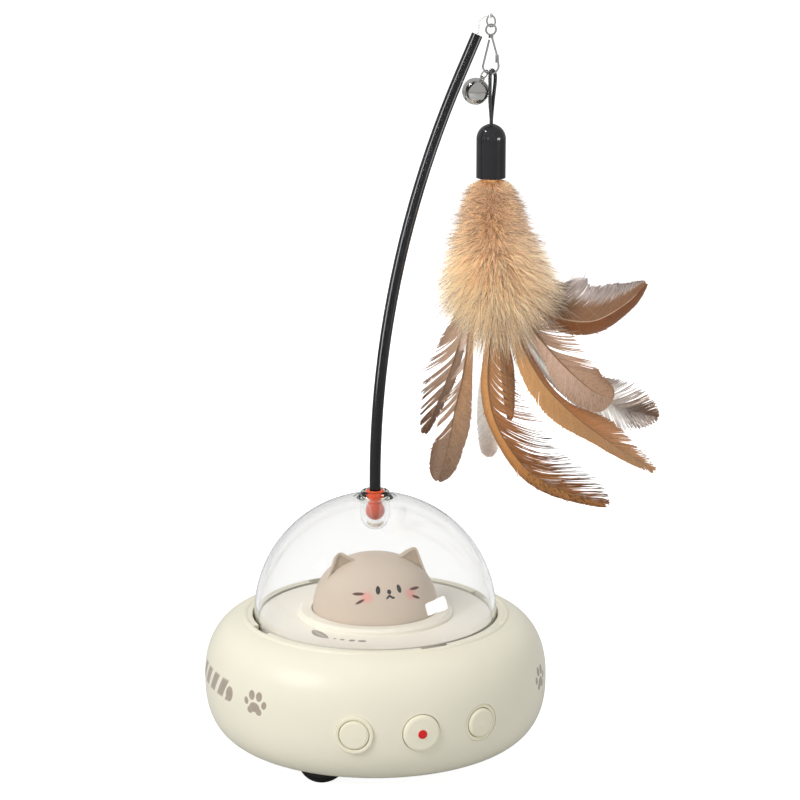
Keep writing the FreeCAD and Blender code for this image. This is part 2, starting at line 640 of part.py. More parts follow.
def caster():
    """The swivel caster: fork with its pin, wheel, axle pin and retaining clip."""
    x, radius, fit = size("caster_place"), size("caster_radius"), size("running_fit")
    arm, gap = size("fork_arm"), size("caster_width") / 2 + size("fork_gap")
    roof = size("cup_height")
    top = roof - 2 * size("fork_gap")
    under = 2 * radius + size("fork_gap")
    pin = size("caster_pin_radius")
    wheel_x = x - size("caster_trail")
    fork = Part.makeCylinder(gap + arm, top - under, Vector(x, 0, under))
    fork = fork.fuse(Part.makeCylinder(pin, size("cup_wall") + 6 * size("fork_gap"),
                                       Vector(x, 0, top)))
    for sign in (-1, 1):
        leg = slab(2 * arm + size("fork_brace"), arm, top - radius + arm,
                   Vector(wheel_x + arm / 2, sign * (gap + arm / 2), (top + radius - arm) / 2))
        fork = fork.fuse(leg)
    axle = Part.makeCylinder(size("caster_axle_radius"), 2 * (gap + arm),
                             Vector(wheel_x, -gap - arm, radius), Vector(0, 1, 0))
    node("caster_fork", solid_feature("caster_fork", fork.cut(axle).removeSplitter()))
    node("caster_axle", solid_feature("caster_axle", axle))
    wheel = Part.makeCylinder(radius, size("caster_width"),
                              Vector(wheel_x, -size("caster_width") / 2, radius), Vector(0, 1, 0))
    wheel = wheel.makeFillet(size("caster_edge"), [e for e in wheel.Edges
                                                   if e.Curve.TypeId == "Part::GeomCircle"])
    bore = Part.makeCylinder(size("caster_axle_radius") + fit, 2 * gap,
                             Vector(wheel_x, -gap, radius), Vector(0, 1, 0))
    node("caster_wheel", solid_feature("caster_wheel", wheel.cut(bore)))
    clip_low = roof + size("cup_wall") + size("fork_gap") / 2
    thick = size("pin_clip_thickness")
    clip = Part.makeCylinder(1.8 * pin, thick, Vector(x, 0, clip_low))
    clip = clip.cut(Part.makeCylinder(pin, 2 * thick, Vector(x, 0, clip_low)))
    node("caster_clip", solid_feature("caster_clip", clip))


CORNER_X, CORNER_Y = "(board_length / 2 - post_inset)", "(board_width / 2 - post_inset)"
BOARD_CORNERS = [(f"board_centre + {a} * {CORNER_X}", f"{b} * {CORNER_Y}")
                 for a in (-1, 1) for b in (-1, 1)]


def board_posts():
    """The bored posts on the chassis under the main board's corners."""
    floor = "belly_height + chassis_thickness"
    return [cut(f"post{i}", rod(f"post_bar{i}", "post_radius", f"board_height - ({floor})",
                                x, y, floor),
                rod(f"post_hole{i}", "screw_radius", "6 * screw_radius", x, y,
                    "board_height - 6 * screw_radius"))
            for i, (x, y) in enumerate(BOARD_CORNERS)]


def boards():
    """The main board with its chips and screws."""
    holes = [rod(f"board_hole{i}", "screw_radius", "2 * board_height", x, y)
             for i, (x, y) in enumerate(BOARD_CORNERS)]
    board = box("board", "board_length", "board_width", "board_thickness",
                "board_centre", 0, "board_height")
    node("main_board", cut("main_board", board, *holes))
    top = "board_height + board_thickness"
    group("case_screws", *[screw(f"case{i}", x, y, "belly_height",
                                 "chassis_thickness - screw_head_height + case_screw_length")
                           for i, (x, y) in enumerate(CASE_SCREWS)])
    group("board_screws", *[screw(f"board{i}", x, y, f"{top} + screw_head_height",
                                  "4 * screw_radius", False)
                            for i, (x, y) in enumerate(BOARD_CORNERS)])
    group("board_chips",
          box("controller", "chip_size", "chip_size", "chip_height",
              "board_centre - board_length / 8", 0, top),
          box("motor_driver", "driver_length", "driver_width", "chip_height",
              "board_centre + board_length / 4", "driver_place", top),
          box("battery_plug", "header_length", "header_width", "header_height",
              "board_centre + board_length / 4", "-header_place", top))


def buttons():
    """Three push-buttons on the front with their rings, switches and switch strip."""
    face = size("base_radius")
    level = Vector(0, 0, size("button_height"))
    switches, rings = [], []
    back = size("strip_radius")

    def lathe(outline, angle):
        """Turned about the button's own axis: outline corners are (radius, distance)."""
        shape = Part.Face(Part.makePolygon([Vector(r, 0, d) for r, d in outline + outline[:1]]))
        shape = shape.revolve(Vector(), Vector(0, 0, 1), 360)
        shape.Placement = Placement(level, Rotation(Vector(0, 0, 1), outward(angle)))
        return shape

    for name, angle in BUTTONS.items():
        ring = name != "status"
        radius = size("button_radius") if ring else size("ring_outer") - size("button_gap")
        rise = size("button_rise") * (0.4 if name == "mode" else 1)
        wide = size("button_flange") if ring else size("ring_outer") + size("flange_depth") / 2
        inner_face = face - size("shell_wall") - size("button_travel") - 2 * size("flange_depth")
        stem_end = (back + size("switch_depth") + size("nib_height") + size("nib_gap")
                    + size("button_travel"))
        edge = 0.16 * radius
        outline = [(0, stem_end), (size("stem_radius"), stem_end),
                   (size("stem_radius"), inner_face), (wide, inner_face),
                   (wide, inner_face + size("flange_depth")),
                   (radius, inner_face + size("flange_depth")),
                   (radius, face + rise - edge), (radius - edge / 3, face + rise - edge / 3),
                   (radius - edge, face + rise), (0, face + rise + edge / 3)]
        cap = lathe(outline, angle)
        if not ring:
            seat = face + rise - 4 * size("led_rise")
            bore = size("led_radius") + size("running_fit")
            far = face + 2 * rise
            cap = cap.cut(lathe([(0, seat), (bore, seat), (bore, far), (0, far)], angle))
            led_top = face + rise + size("led_rise") + edge / 3
            lens = lathe([(0, seat), (size("led_radius"), seat),
                          (size("led_radius"), led_top - size("edge_break")),
                          (0.6 * size("led_radius"), led_top), (0, led_top)], angle)
            node("status_led", solid_feature("status_led", lens))
        node(f"{name}_button", solid_feature(f"{name}_button", cap))
        if ring:
            high = face + (size("ring_rise") if name == "power" else -size("ring_rise") / 2)
            low = inner_face + 2 * size("flange_depth")
            hole, small = radius + size("button_gap"), size("edge_break")
            rings.append(lathe([(hole, low), (size("ring_outer"), low),
                                (size("ring_outer"), high - small),
                                (size("ring_outer") - small, high), (hole + small, high),
                                (hole, high - small)], angle))
        depth, wide = size("switch_depth"), size("switch_size")
        bodies = slab(wide, wide, depth, Vector(0, 0, back + depth / 2 + size("switch_seat")))
        bodies.Placement = Placement(level, Rotation(Vector(0, 0, 1), outward(angle))).multiply(
            bodies.Placement)
        press, nib_end = back + depth, back + depth + size("nib_height")
        nib = lathe([(0, press), (size("nib_radius"), press), (size("nib_radius"), nib_end),
                     (0, nib_end)], angle)
        switches.append(bodies.fuse(nib).removeSplitter())
    node("button_rings", solid_feature("button_rings", Part.makeCompound(rings)))
    node("tact_switches", solid_feature("tact_switches", Part.makeCompound(switches)))
    foot = size("belly_height") + size("rim_height")
    strip = sector(back - size("strip_thickness"), back, foot, foot + size("strip_height"), 0,
                   size("strip_angle"))
    node("switch_strip", solid_feature("switch_strip", strip))


def charging_port():
    """The socket for a charging lead, on its bracket at the back."""
    width, height, depth = size("port_width"), size("port_height"), size("port_depth")
    wall, reach = size("port_wall"), size("port_reach")
    middle = Vector(0, reach - depth / 2, size("port_level"))
    tube = slab(width, depth, height, middle)
    tube = tube.makeFillet(0.45 * height, [e for e in tube.Edges
                                           if abs(e.tangentAt(e.FirstParameter).y) > 0.9])
    hollow = slab(width - 2 * wall, depth, height - 2 * wall, middle + Vector(0, wall * 3, 0))
    hollow = hollow.makeFillet(0.4 * height, [e for e in hollow.Edges
                                              if abs(e.tangentAt(e.FirstParameter).y) > 0.9])
    tongue = slab(width * 0.7, depth * 0.75, height * 0.22, middle).common(hollow)
    node("charging_port", solid_feature("charging_port",
                                        Part.makeCompound([tube.cut(hollow), tongue])))


def port_bracket():
    """The shelf on the chassis that carries the charging port."""
    width, height = size("port_width"), size("port_height")
    foot = size("belly_height") + size("rim_height")
    under = size("port_level") - height / 2
    post, thick = size("shelf_post"), size("shelf_thickness")
    start, end = size("flange_radius") - 1.7 * post, size("port_reach") - size("shelf_inset")
    plate_top = slab(1.3 * width, end - start, thick,
                     Vector(0, (start + end) / 2, under - thick / 2))
    post = slab(1.3 * width, post, under - thick - foot,
                Vector(0, start + post / 2, (under - thick + foot) / 2))
    return solid_feature("port_bracket", plate_top.fuse(post).removeSplitter())


def rod_points():
    """The rod's line: its foot, both ends of its bend, the bend's middle and its tip."""
    bend, radius = math.radians(size("rod_bend_angle")), size("rod_bend_radius")
    foot_top = size("deck_height") + size("dome_radius") + size("lip_height") / 2
    foot = Vector(0, 0, foot_top - size("rod_depth"))
    start = Vector(0, 0, foot_top + size("rod_foot"))

    def on_bend(angle):
        return start + Vector(radius * (1 - math.cos(angle)), 0, radius * math.sin(angle))

    end = on_bend(bend)
    way = Vector(math.sin(bend), 0, math.cos(bend))
    return foot, start, on_bend(bend / 2), end, end + way * size("rod_tip"), way


def bent_tube(outer, inner):
    """A tube or bar that follows the rod's line."""
    foot, start, _, end, tip, way = rod_points()
    centre = start + Vector(size("rod_bend_radius"), 0, 0)

    def pipe(radius):
        low = Part.makeCylinder(radius, (start - foot).Length, foot)
        disc = Part.Face(Part.Wire(Part.makeCircle(radius, start)))
        bend = disc.revolve(centre, Vector(0, 1, 0), size("rod_bend_angle"))
        high = Part.makeCylinder(radius, (tip - end).Length, end, way)
        return low.fuse([bend, high]).removeSplitter()

    return pipe(outer).cut(pipe(inner)) if inner else pipe(outer)


def wand():
    """The silicone plug, the bent tube in it and the clear line at the tube's tip."""
    foot, start, _, _, tip, way = rod_points()
    top = start.z - size("rod_foot")
    radius, neck = size("plug_radius"), 0.72 * size("plug_radius")
    ball_z = top - size("plug_length") + radius
    edge = size("plug_edge")
    band = top - size("plug_band") - edge
    touch = math.sqrt(radius ** 2 - neck ** 2)
    edges = [
        Part.Arc(Vector(0, 0, ball_z - radius), Vector(radius, 0, ball_z),
                 Vector(neck, 0, ball_z + touch)).toShape(),
        line((neck, ball_z + touch), (neck, band)), line((neck, band), (radius, band)),
        line((radius, band), (radius, top - edge)),
        line((radius, top - edge), (radius - edge, top)),
        line((radius - edge, top), (0, top)), line((0, top), (0, ball_z - radius))]
    plug = spun(Part.Wire(edges))
    plug = plug.cut(Part.makeCylinder(size("rod_radius") + size("rod_fit"), radius * 4,
                                      foot - Vector(0, 0, size("rod_fit"))))
    node("wand_plug", solid_feature("wand_plug", plug))
    node("wand_tube", solid_feature("wand_tube", bent_tube(size("rod_radius"), size("rod_bore"))))
    knot = ring_centre() + Vector(0, 0, size("ring_radius"))
    loop = size("ring_wire") + size("line_radius") + 1.25 * size("wire_gap")
    turn = math.radians(size("ring_turn_angle"))
    through = Vector(-math.sin(turn), -math.cos(turn), 0)
    side = knot + through * (loop + 1.4 * size("line_radius"))
    out = tip + way * size("line_out")
    rise = (side + out) * 0.5 + Vector(-0.55, 0, 0.6) * size("line_out")
    inside = Part.makeLine(tip - way * size("line_seat"), out)
    thread = wire_bar([inside, Part.Arc(out, rise, side).toShape()], size("line_radius"))
    along = through.cross(Vector(0, 0, 1))
    thread = thread.fuse([Part.makeTorus(loop, size("line_radius"), knot, along),
                          Part.makeSphere(1.8 * size("line_radius"), side)])
    node("tip_line", solid_feature("tip_line", thread.removeSplitter()))


def wire_bar(edges, radius):
    """A round wire along a run of edges, with a ball at each corner."""
    bar = None
    for edge in edges:
        start = edge.valueAt(edge.FirstParameter)
        way = edge.tangentAt(edge.FirstParameter)
        disc = Part.Face(Part.Wire(Part.makeCircle(radius, start, way)))
        piece = Part.Wire([edge]).makePipe(disc)
        if bar is None:
            bar = piece
        else:
            bar = bar.fuse([Part.makeSphere(radius, start), piece])
    return bar.removeSplitter()


def ring_centre():
    """The middle of the small ring, from the rod's tip."""
    return rod_points()[4] + Vector(size("ring_reach"), 0, size("ring_lift"))


def tip_ring():
    """The small ring that the snap clip hangs from."""
    turn = math.radians(size("ring_turn_angle"))
    ring = Part.makeTorus(size("ring_radius"), size("ring_wire"), Vector(),
                          Vector(-math.sin(turn), -math.cos(turn), 0))
    ring.translate(ring_centre())
    node("top_ring", solid_feature("top_ring", ring))


def clip_points():
    """The snap clip's main heights: loop, neck and bow."""
    wire = size("clip_wire")
    drop = (size("ring_radius") - size("ring_wire") - wire - size("wire_gap")
            + size("clip_loop"))
    loop = ring_centre() - Vector(0, 0, drop)
    neck = loop - Vector(0, 0, size("clip_loop") + wire + size("clip_neck"))
    bow = neck - Vector(0, 0, size("clip_leg"))
    return loop, neck, bow


def bow_arc():
    """The snap clip's round bow, which the bell and the lure hang from."""
    bow = clip_points()[2]
    reach, lift = size("clip_spread") / 2, size("bow_lift")
    return Part.Arc(bow + Vector(-reach, 0, 1.2 * lift),
                    bow + Vector(0.4 * lift, 0, lift - size("clip_bow")),
                    bow + Vector(reach, 0, lift)).toShape()


def hang_point():
    """Where the bell's jump ring lies on the bow."""
    arc = bow_arc()
    first, last = arc.FirstParameter, arc.LastParameter
    return arc.valueAt(first + (last - first) * size("bell_share"))


def cord_crest():
    """Where the lure's cord crosses over the bow's lowest stretch."""
    x = clip_points()[2].x + size("lure_lead")
    arc = bow_arc()
    middle, radius = arc.Curve.Center, arc.Curve.Radius
    low = middle.z - math.sqrt(radius ** 2 - (x - middle.x) ** 2)
    return Vector(x, 0, low + size("clip_wire") + size("cord_radius") + size("cord_rest"))


def cap_mouth():
    """The middle of the lure cap's open lower end."""
    return cord_crest() - Vector(0, 0, size("cap_drop") + size("cap_length"))


def clip():
    """The snap clip: loop with its fixed leg and catch, and the springy arm with the bow."""
    loop, neck, bow = clip_points()
    wire, reach = size("clip_wire"), size("clip_loop")
    loop_ring = Part.makeTorus(reach, wire, loop, Vector(0, 1, 0))
    collar = Part.makeCylinder(2.4 * wire, 2.2 * wire, neck - Vector(0, 0, 0.6 * wire))
    catch = bow + Vector(size("clip_spread") / 2 - 0.55, 0, size("clip_leg") * 0.42)
    leg_start = neck + Vector(wire * 1.2, 0, -0.4 * wire)
    leg = wire_bar([Part.makeLine(leg_start, catch)], wire)
    holder = slab(3.2 * wire, 1.4 * wire, 2.6, catch + Vector(0.15, 1.55 * wire, -1.0))
    node("snap_clip", solid_feature("snap_clip",
                                    loop_ring.fuse([collar, leg, holder]).removeSplitter()))
    top = neck + Vector(-wire * 1.6, 0, -2.2 * wire)
    left, right = bow_arc().Vertexes[0].Point, bow_arc().Vertexes[1].Point
    end = catch + Vector(0.25, -0.25 * wire, -1.2)
    arm = wire_bar([Part.makeLine(top, left), bow_arc(), Part.makeLine(right, end)], wire)
    node("clip_arm", solid_feature("clip_arm", arm))


def bell():
    """The jingle bell with crossed slots, its ear, its hanging ring and the pellet."""
    hang = hang_point()
    centre = hang + Vector(-size("bell_lead"), size("bell_back"), -size("bell_drop"))
    up = (hang - centre).normalize()
    radius, wall, slot = size("bell_radius"), size("bell_wall"), size("bell_slot")
    ear_wire, ear = size("ear_wire"), size("ear_loop")
    shell = Part.makeSphere(radius).cut(Part.makeSphere(radius - wall))
    reach, slit_top = 1.35 * radius, size("bell_slit_share") * radius
    for length, width in ((3 * radius, slot), (slot, 3 * radius)):
        shell = shell.cut(slab(length, width, reach + slit_top,
                               Vector(0, 0, (slit_top - reach) / 2)))
    loop = Part.makeTorus(ear, ear_wire, Vector(0, 0, radius + ear / 2), Vector(1, 0, 0))
    shell = shell.fuse(loop.cut(Part.makeSphere(radius - wall)))
    stand = Rotation(Vector(0, 0, 1), up).multiply(Rotation(Vector(0, 0, 1),
                                                               size("bell_turn_angle")))
    node("bell_shell", solid_feature("bell_shell", shell.removeSplitter(), centre, stand))
    low = radius - wall - size("pellet_radius") - size("wire_gap")
    pellet = Part.makeSphere(size("pellet_radius"), centre - Vector(0, 0, low))
    node("bell_pellet", solid_feature("bell_pellet", pellet))
    ear_top = centre + up * (radius + 1.5 * ear)
    wires = ear_wire + size("clip_wire") + 2 * size("jump_wire")
    reach = ((hang - ear_top).Length + wires) / 2 + size("wire_gap")
    middle = (hang + ear_top) * 0.5 + up * (size("clip_wire") - ear_wire) / 2
    across = up.cross(stand.multVec(Vector(1, 0, 0)).cross(up))
    ring = Part.makeTorus(reach, size("jump_wire"), middle, up.cross(across))
    node("jump_ring", solid_feature("jump_ring", ring))


def lure():
    """The cord loop, the black cap, the downy tuft and the core that holds the feathers."""
    crest, cord, gap = cord_crest(), size("cord_radius"), size("cord_gap")
    x, cap_top = crest.x, crest.z - size("cap_drop")
    lower, slant = cap_top - size("cord_seat"), size("cord_slant")
    strand = cord + 0.2 * size("core_gap")
    front, back = crest + Vector(-slant, -gap, -gap), crest + Vector(slant, gap, -gap)
    entry = Vector(0, strand, 0)
    strands = [Part.makeLine(Vector(x, 0, lower) - entry, front),
               Part.Arc(front, crest, back).toShape(),
               Part.makeLine(back, Vector(x, 0, lower) + entry)]
    node("cord_loop", solid_feature("cord_loop", wire_bar(strands, cord)))
    radius, wall, low = size("cap_radius"), size("cap_wall"), cap_mouth().z
    shoulder = cap_top - radius + size("core_gap")
    bore = 2.4 * cord
    top_edge = math.sqrt(radius ** 2 - bore ** 2)
    cap = spun(Part.Wire([
        Part.Arc(Vector(radius, 0, shoulder), Vector(radius * 0.8, 0, shoulder + radius * 0.6),
                 Vector(bore, 0, shoulder + top_edge)).toShape(),
        line((bore, shoulder + top_edge), (bore, shoulder - wall)),
        line((bore, shoulder - wall), (radius - wall, shoulder - wall)),
        line((radius - wall, shoulder - wall), (radius - wall, low)),
        line((radius - wall, low), (radius, low)), line((radius, low), (radius, shoulder))]))
    node("lure_cap", solid_feature("lure_cap", cap, Vector(x, 0, 0)))
    core_top = shoulder - wall - 2 * size("core_gap")
    core_radius = radius - wall - size("core_gap")
    waist = core_top - size("core_length")
    foot = waist - size("core_taper")
    core = Part.makeCylinder(core_radius, size("core_length"), Vector(x, 0, waist))
    core = core.fuse(Part.makeCone(size("core_tip"), core_radius, size("core_taper"),
                                   Vector(x, 0, foot)))
    for sign in (-1, 1):
        core = core.cut(Part.makeCylinder(cord + size("strand_gap"), size("cap_length"),
                                          Vector(x, sign * strand, core_top - size("cord_seat"))))
    node("quill_core", solid_feature("quill_core", core.removeSplitter()))
    full, reach = size("fluff_radius"), size("fluff_length")
    head = low - size("fluff_gap")
    bulge = [(size("fluff_top_radius"), head), (0.55 * full, head - 0.3 * reach),
             (0.9 * full, head - 0.58 * reach), (full, head - 0.78 * reach),
             (0.82 * full, head - 0.93 * reach), (0.45 * full, head - reach)]
    hollow, floor = core_radius + size("fluff_gap"), foot - size("fluff_gap")
    corners = [bulge[-1], (0, head - reach), (0, floor), (hollow, floor), (hollow, head),
               bulge[0]]
    tuft = spun(Part.Wire([smooth(bulge)] + [line(a, b) for a, b in
                                             zip(corners, corners[1:])]))
    node("down_tuft", solid_feature("down_tuft", tuft, Vector(x, 0, 0)))


# each feather: points along its quill as (x, y, z) from the middle of the cap's mouth,
# then the width of its upper and of its lower vane at the quarter, half and three quarters
FEATHERS = {
    "feather_wing": (((5, -2, -33), (13, -2.6, -42), (23, -3.6, -49), (36, -5, -51),
                      (48, -6, -45), (55, -6.6, -38)), (8, 11.5, 5), (3.2, 4.8, 3.6)),
    "feather_round": (((6, -3.4, -42), (19, -5.6, -59), (27, -7.6, -68), (35, -9.4, -75),
                       (42, -10.6, -78)), (2.8, 6.6, 5.4), (3.4, 7, 6.6)),
    "feather_long": (((5, -1.6, -44), (15, -4, -67), (25, -6, -80), (39, -7.8, -92),
                      (59, -9, -106)), (1.7, 1.7, 2.8), (5.2, 6.6, 5.4)),
    "feather_speckled": (((-0.5, -5, -47), (-3, -8.6, -71), (1, -12, -88), (14, -14.4, -104),
                          (39, -16, -115)), (5.4, 7.6, 7.6), (2.8, 2.8, 3.4)),
    "feather_left": (((-7, -1, -44), (-10, -3, -65), (-14, -5, -80), (-17, -7, -92),
                      (-21, -8.4, -104)), (3.1, 6.2, 5.6), (2.4, 4.4, 5.4)),
    "feather_pale": (((2.5, 5.6, -46), (3, 8, -66), (3, 9.6, -79), (4, 11, -93),
                      (4, 11.6, -102)), (2.6, 3.6, 3.8), (3, 4.4, 4.8)),
    "feather_down": (((6, 3.6, -45), (25, 7.6, -70), (41, 10, -81), (56, 12, -88),
                      (68, 13, -92)), (3.4, 4.4, 6), (3.4, 5, 5.6)),
    "feather_back": (((-4, 5, -40), (-9, 8, -60), (-12, 11, -72), (-15, 14, -82),
                      (-19, 16, -93)), (2.4, 3.1, 2.8), (4, 6.4, 5.2)),
}


def feather(label):
    """One curved feather: a thin ruled vane between two smooth edges."""
    quill, upper, lower = FEATHERS[label]
    mouth = cap_mouth()
    spine = Part.BSplineCurve()
    spine.interpolate([mouth + Vector(*point) for point in quill])
    first, last = spine.FirstParameter, spine.LastParameter
    root_half, tip_half = size("quill_half"), size("tip_half")
    edges = []
    for sign, widths in ((1, upper), (-1, lower)):
        points = []
        for share, half in zip((0, 0.25, 0.5, 0.75, 1), (root_half, *widths, tip_half)):
            spot = first + (last - first) * share
            across = spine.tangent(spot)[0].cross(Vector(0, 1, 0)).normalize()
            points.append(spine.value(spot) + across * sign * half)
        curve = Part.BSplineCurve()
        curve.interpolate(points)
        edges.append(curve.toShape())
    vane = Part.makeRuledSurface(*edges)
    solid = vane.extrude(Vector(0, size("feather_thickness"), 0))
    node(label, solid_feature(label, solid))


def build():
    """Makes every sub-part, checks the document and writes the files."""
    body_shell()
    dome()
    deck_parts()
    cat_head()
    chassis()
    drives()
    caster()
    boards()
    buttons()
    charging_port()
    wand()
    tip_ring()
    clip()
    bell()
    lure()
    for label in FEATHERS:
        feather(label)
    doc.recompute()
    failed = [o.Name for o in doc.Objects if "Invalid" in o.State or "Error" in o.State]
    if failed:
        raise RuntimeError(f"these objects failed: {failed}")
    os.makedirs("parts", exist_ok=True)
    for label, thing in nodes.items():
        shape = thing.Shape
        if shape.isNull() or not shape.isValid() or shape.Volume <= 0:
            raise RuntimeError(f"{label} has no sound solid")
        shape.exportStep(f"parts/{label}.step")
    print(len(nodes), "sub-parts written")


build()
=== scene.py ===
import bpy
import math
import random
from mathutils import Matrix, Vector


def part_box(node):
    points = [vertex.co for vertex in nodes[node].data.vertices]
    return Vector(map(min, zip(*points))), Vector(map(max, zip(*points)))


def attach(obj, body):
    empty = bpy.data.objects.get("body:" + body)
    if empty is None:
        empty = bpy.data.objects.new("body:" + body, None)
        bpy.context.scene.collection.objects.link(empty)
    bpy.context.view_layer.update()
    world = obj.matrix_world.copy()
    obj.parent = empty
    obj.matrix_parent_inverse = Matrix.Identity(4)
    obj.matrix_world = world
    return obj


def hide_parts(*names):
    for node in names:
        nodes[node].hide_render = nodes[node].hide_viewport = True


# Electric cat teaser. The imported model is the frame; this script gives it its looks:
# the finishes of the moulded and metal parts, the printed marks, the woven cord, the
# down tuft and nine feathers, one of them small and in this script alone. Metres, same
# frame as the solids. Values given in millimetres are multiplied by MM where they are used.

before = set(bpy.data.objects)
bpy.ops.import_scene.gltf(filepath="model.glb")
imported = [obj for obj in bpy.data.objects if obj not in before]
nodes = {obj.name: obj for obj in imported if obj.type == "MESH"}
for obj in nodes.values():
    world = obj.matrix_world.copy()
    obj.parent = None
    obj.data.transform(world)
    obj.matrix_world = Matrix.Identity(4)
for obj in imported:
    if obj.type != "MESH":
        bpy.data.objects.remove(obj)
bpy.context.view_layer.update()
scene = bpy.context.scene
MM = 0.001
SHELL_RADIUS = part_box("body_shell")[1].x / MM
HEAD_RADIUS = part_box("cat_head")[1].x / MM
CAP_LOW, CAP_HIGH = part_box("lure_cap")
MOUTH = Vector(((CAP_LOW.x + CAP_HIGH.x) / 2, 0, CAP_LOW.z)) / MM


# Camera, light and floor

EYE, EYE_TILT, EYE_TURN, LENS = (-0.2356, -0.8940, 0.3452), 76.685, -15.3, 124.07
WORLD_LIGHT, FLOOR_SHADE, FLOOR_GLOW, FLOOR_SEEN = 0.46, 0.6, 0.62, 0.3
LURE_CONE = 28

# Each lamp: its name, place and aim in metres, watts, width and height in metres, and its kind.
# A matt lamp and an inside lamp give soft light with no image of the lamp. The other kinds only
# make glints. A kind that LIT lists shines on those parts alone, and a kind that UNSHADED lists
# is not blocked by that part: the clear dome in the soft lamps' light, the rod in the bell's.
LAMPS = (
    ("key_lamp", (-0.7, -0.44, 0.68), (0, 0, 0.06), 5.0, 0.5, 0.5, "matt"),
    ("fill_lamp", (0.75, -0.5, 0.16), (0, 0, 0.04), 0.75, 0.6, 0.3, "matt"),
    ("inside_lamp", (-0.62, -0.3, 0.4), (0, 0, 0.04), 1.3, 0.3, 0.3, "inside"),
    ("lure_lamp", (-0.2, -0.31, 0.27), (0.044, 0, 0.188), 0.12, 0.1, 0.1, "matt"),
    ("top_lamp", (0.05, 0.25, 0.95), (0, 0, 0.1), 1.6, 0.7, 0.7, "matt"),
    ("rim_lamp", (0.5, 0.7, 0.5), (0, 0, 0.1), 1.0, 0.5, 0.5, "matt"),
    ("shoulder_lamp", (-0.74, -0.2, 0.6), (0, 0, 0.06), 1.6, 0.5, 0.5, "shell"),
    ("glint_lamp", (-0.603, 0.031, 0.626), (-0.025, -0.023, 0.076), 1.4, 0.11, 0.11, "dome"),
    ("window_lamp", (0.592, -0.56, 0.243), (0.011, -0.039, 0.063), 1.7, 0.32, 0.15, "front"),
    ("bell_lamp", (-0.52, 0.04, 0.95), (0.02, -0.004, 0.235), 1.6, 0.12, 0.12, "lure"),
    ("left_strip", (-0.77, -0.204, 0.42), (0, 0, 0.2), 9.0, 0.3, 0.8, "wand"),
    ("right_strip", (0.40, -0.18, 0.22), (0.02, 0, 0.2), 1.5, 0.2, 0.4, "wand"))
LIT = {"dome": ("dome",), "front": ("dome", "lure_cap"), "lure": ("bell_shell", "lure_cap"),
       "shell": ("body_shell",), "wand": ("wand_tube",),
       "inside": ("deck_plate", "collar_ring", "cat_head")}
UNSHADED = {"matt": "dome", "inside": "dome", "lure": "wand_tube"}


def aim_camera():
    """The camera at the photograph's angle."""
    camera = bpy.data.cameras.new("camera")
    camera.sensor_width, camera.lens = 36, LENS
    camera.clip_start, camera.clip_end = 0.01, 20
    holder = bpy.data.objects.new("camera", camera)
    holder.location = EYE
    holder.rotation_euler = (math.radians(EYE_TILT), 0, math.radians(EYE_TURN))
    scene.collection.objects.link(holder)
    scene.camera = holder


def set_lamps():
    """The soft lamps and the ones that make glints."""
    unblocked = {piece: all_but(piece) for piece in ("dome", "wand_tube")}
    for name, place, aim, power, width, tall, kind in LAMPS:
        lamp = bpy.data.lights.new(name, "AREA")
        lamp.shape = "ELLIPSE" if width == tall else "RECTANGLE"
        lamp.energy, lamp.size, lamp.size_y = power, width, tall
        if name == "lure_lamp":
            lamp.spread = math.radians(LURE_CONE)
        stand = bpy.data.objects.new(name, lamp)
        stand.location = place
        stand.rotation_euler = (Vector(aim) - Vector(place)).to_track_quat("-Z", "Y").to_euler()
        gentle = kind in ("matt", "inside")
        stand.visible_glossy, stand.visible_diffuse = not gentle, gentle
        stand.visible_camera = False
        if gentle:
            stand.visible_transmission = False
        if kind in LIT:
            lit = bpy.data.collections.new(name + "_lit")
            for piece in LIT[kind]:
                lit.objects.link(nodes[piece])
            stand.light_linking.receiver_collection = lit
        if kind in UNSHADED:
            stand.light_linking.blocker_collection = unblocked[UNSHADED[kind]]
        scene.collection.objects.link(stand)


def all_but(piece):
    """A collection that lets a lamp's light past one piece."""
    others = bpy.data.collections.new("without_" + piece)
    others.objects.link(nodes[piece])
    others.collection_objects[0].light_linking.link_state = "EXCLUDE"
    return others


def light_backdrop():
    """A soft white surround, brighter where it is seen directly."""
    world = bpy.data.worlds.new("studio")
    scene.world = world
    world.use_nodes = True
    tree = world.node_tree
    tree.nodes.clear()
    out = tree.nodes.new("ShaderNodeOutputWorld")
    soft, bright = tree.nodes.new("ShaderNodeBackground"), tree.nodes.new("ShaderNodeBackground")
    soft.inputs["Color"].default_value = (1, 1, 1, 1)
    soft.inputs["Strength"].default_value = WORLD_LIGHT
    bright.inputs["Color"].default_value = (1, 1, 1, 1)
    bright.inputs["Strength"].default_value = 1
    mix = tree.nodes.new("ShaderNodeMixShader")
    tree.links.new(seen_directly(tree), mix.inputs[0])
    tree.links.new(soft.outputs[0], mix.inputs[1])
    tree.links.new(bright.outputs[0], mix.inputs[2])
    tree.links.new(mix.outputs[0], out.inputs["Surface"])
    scene.view_settings.view_transform = "Standard"


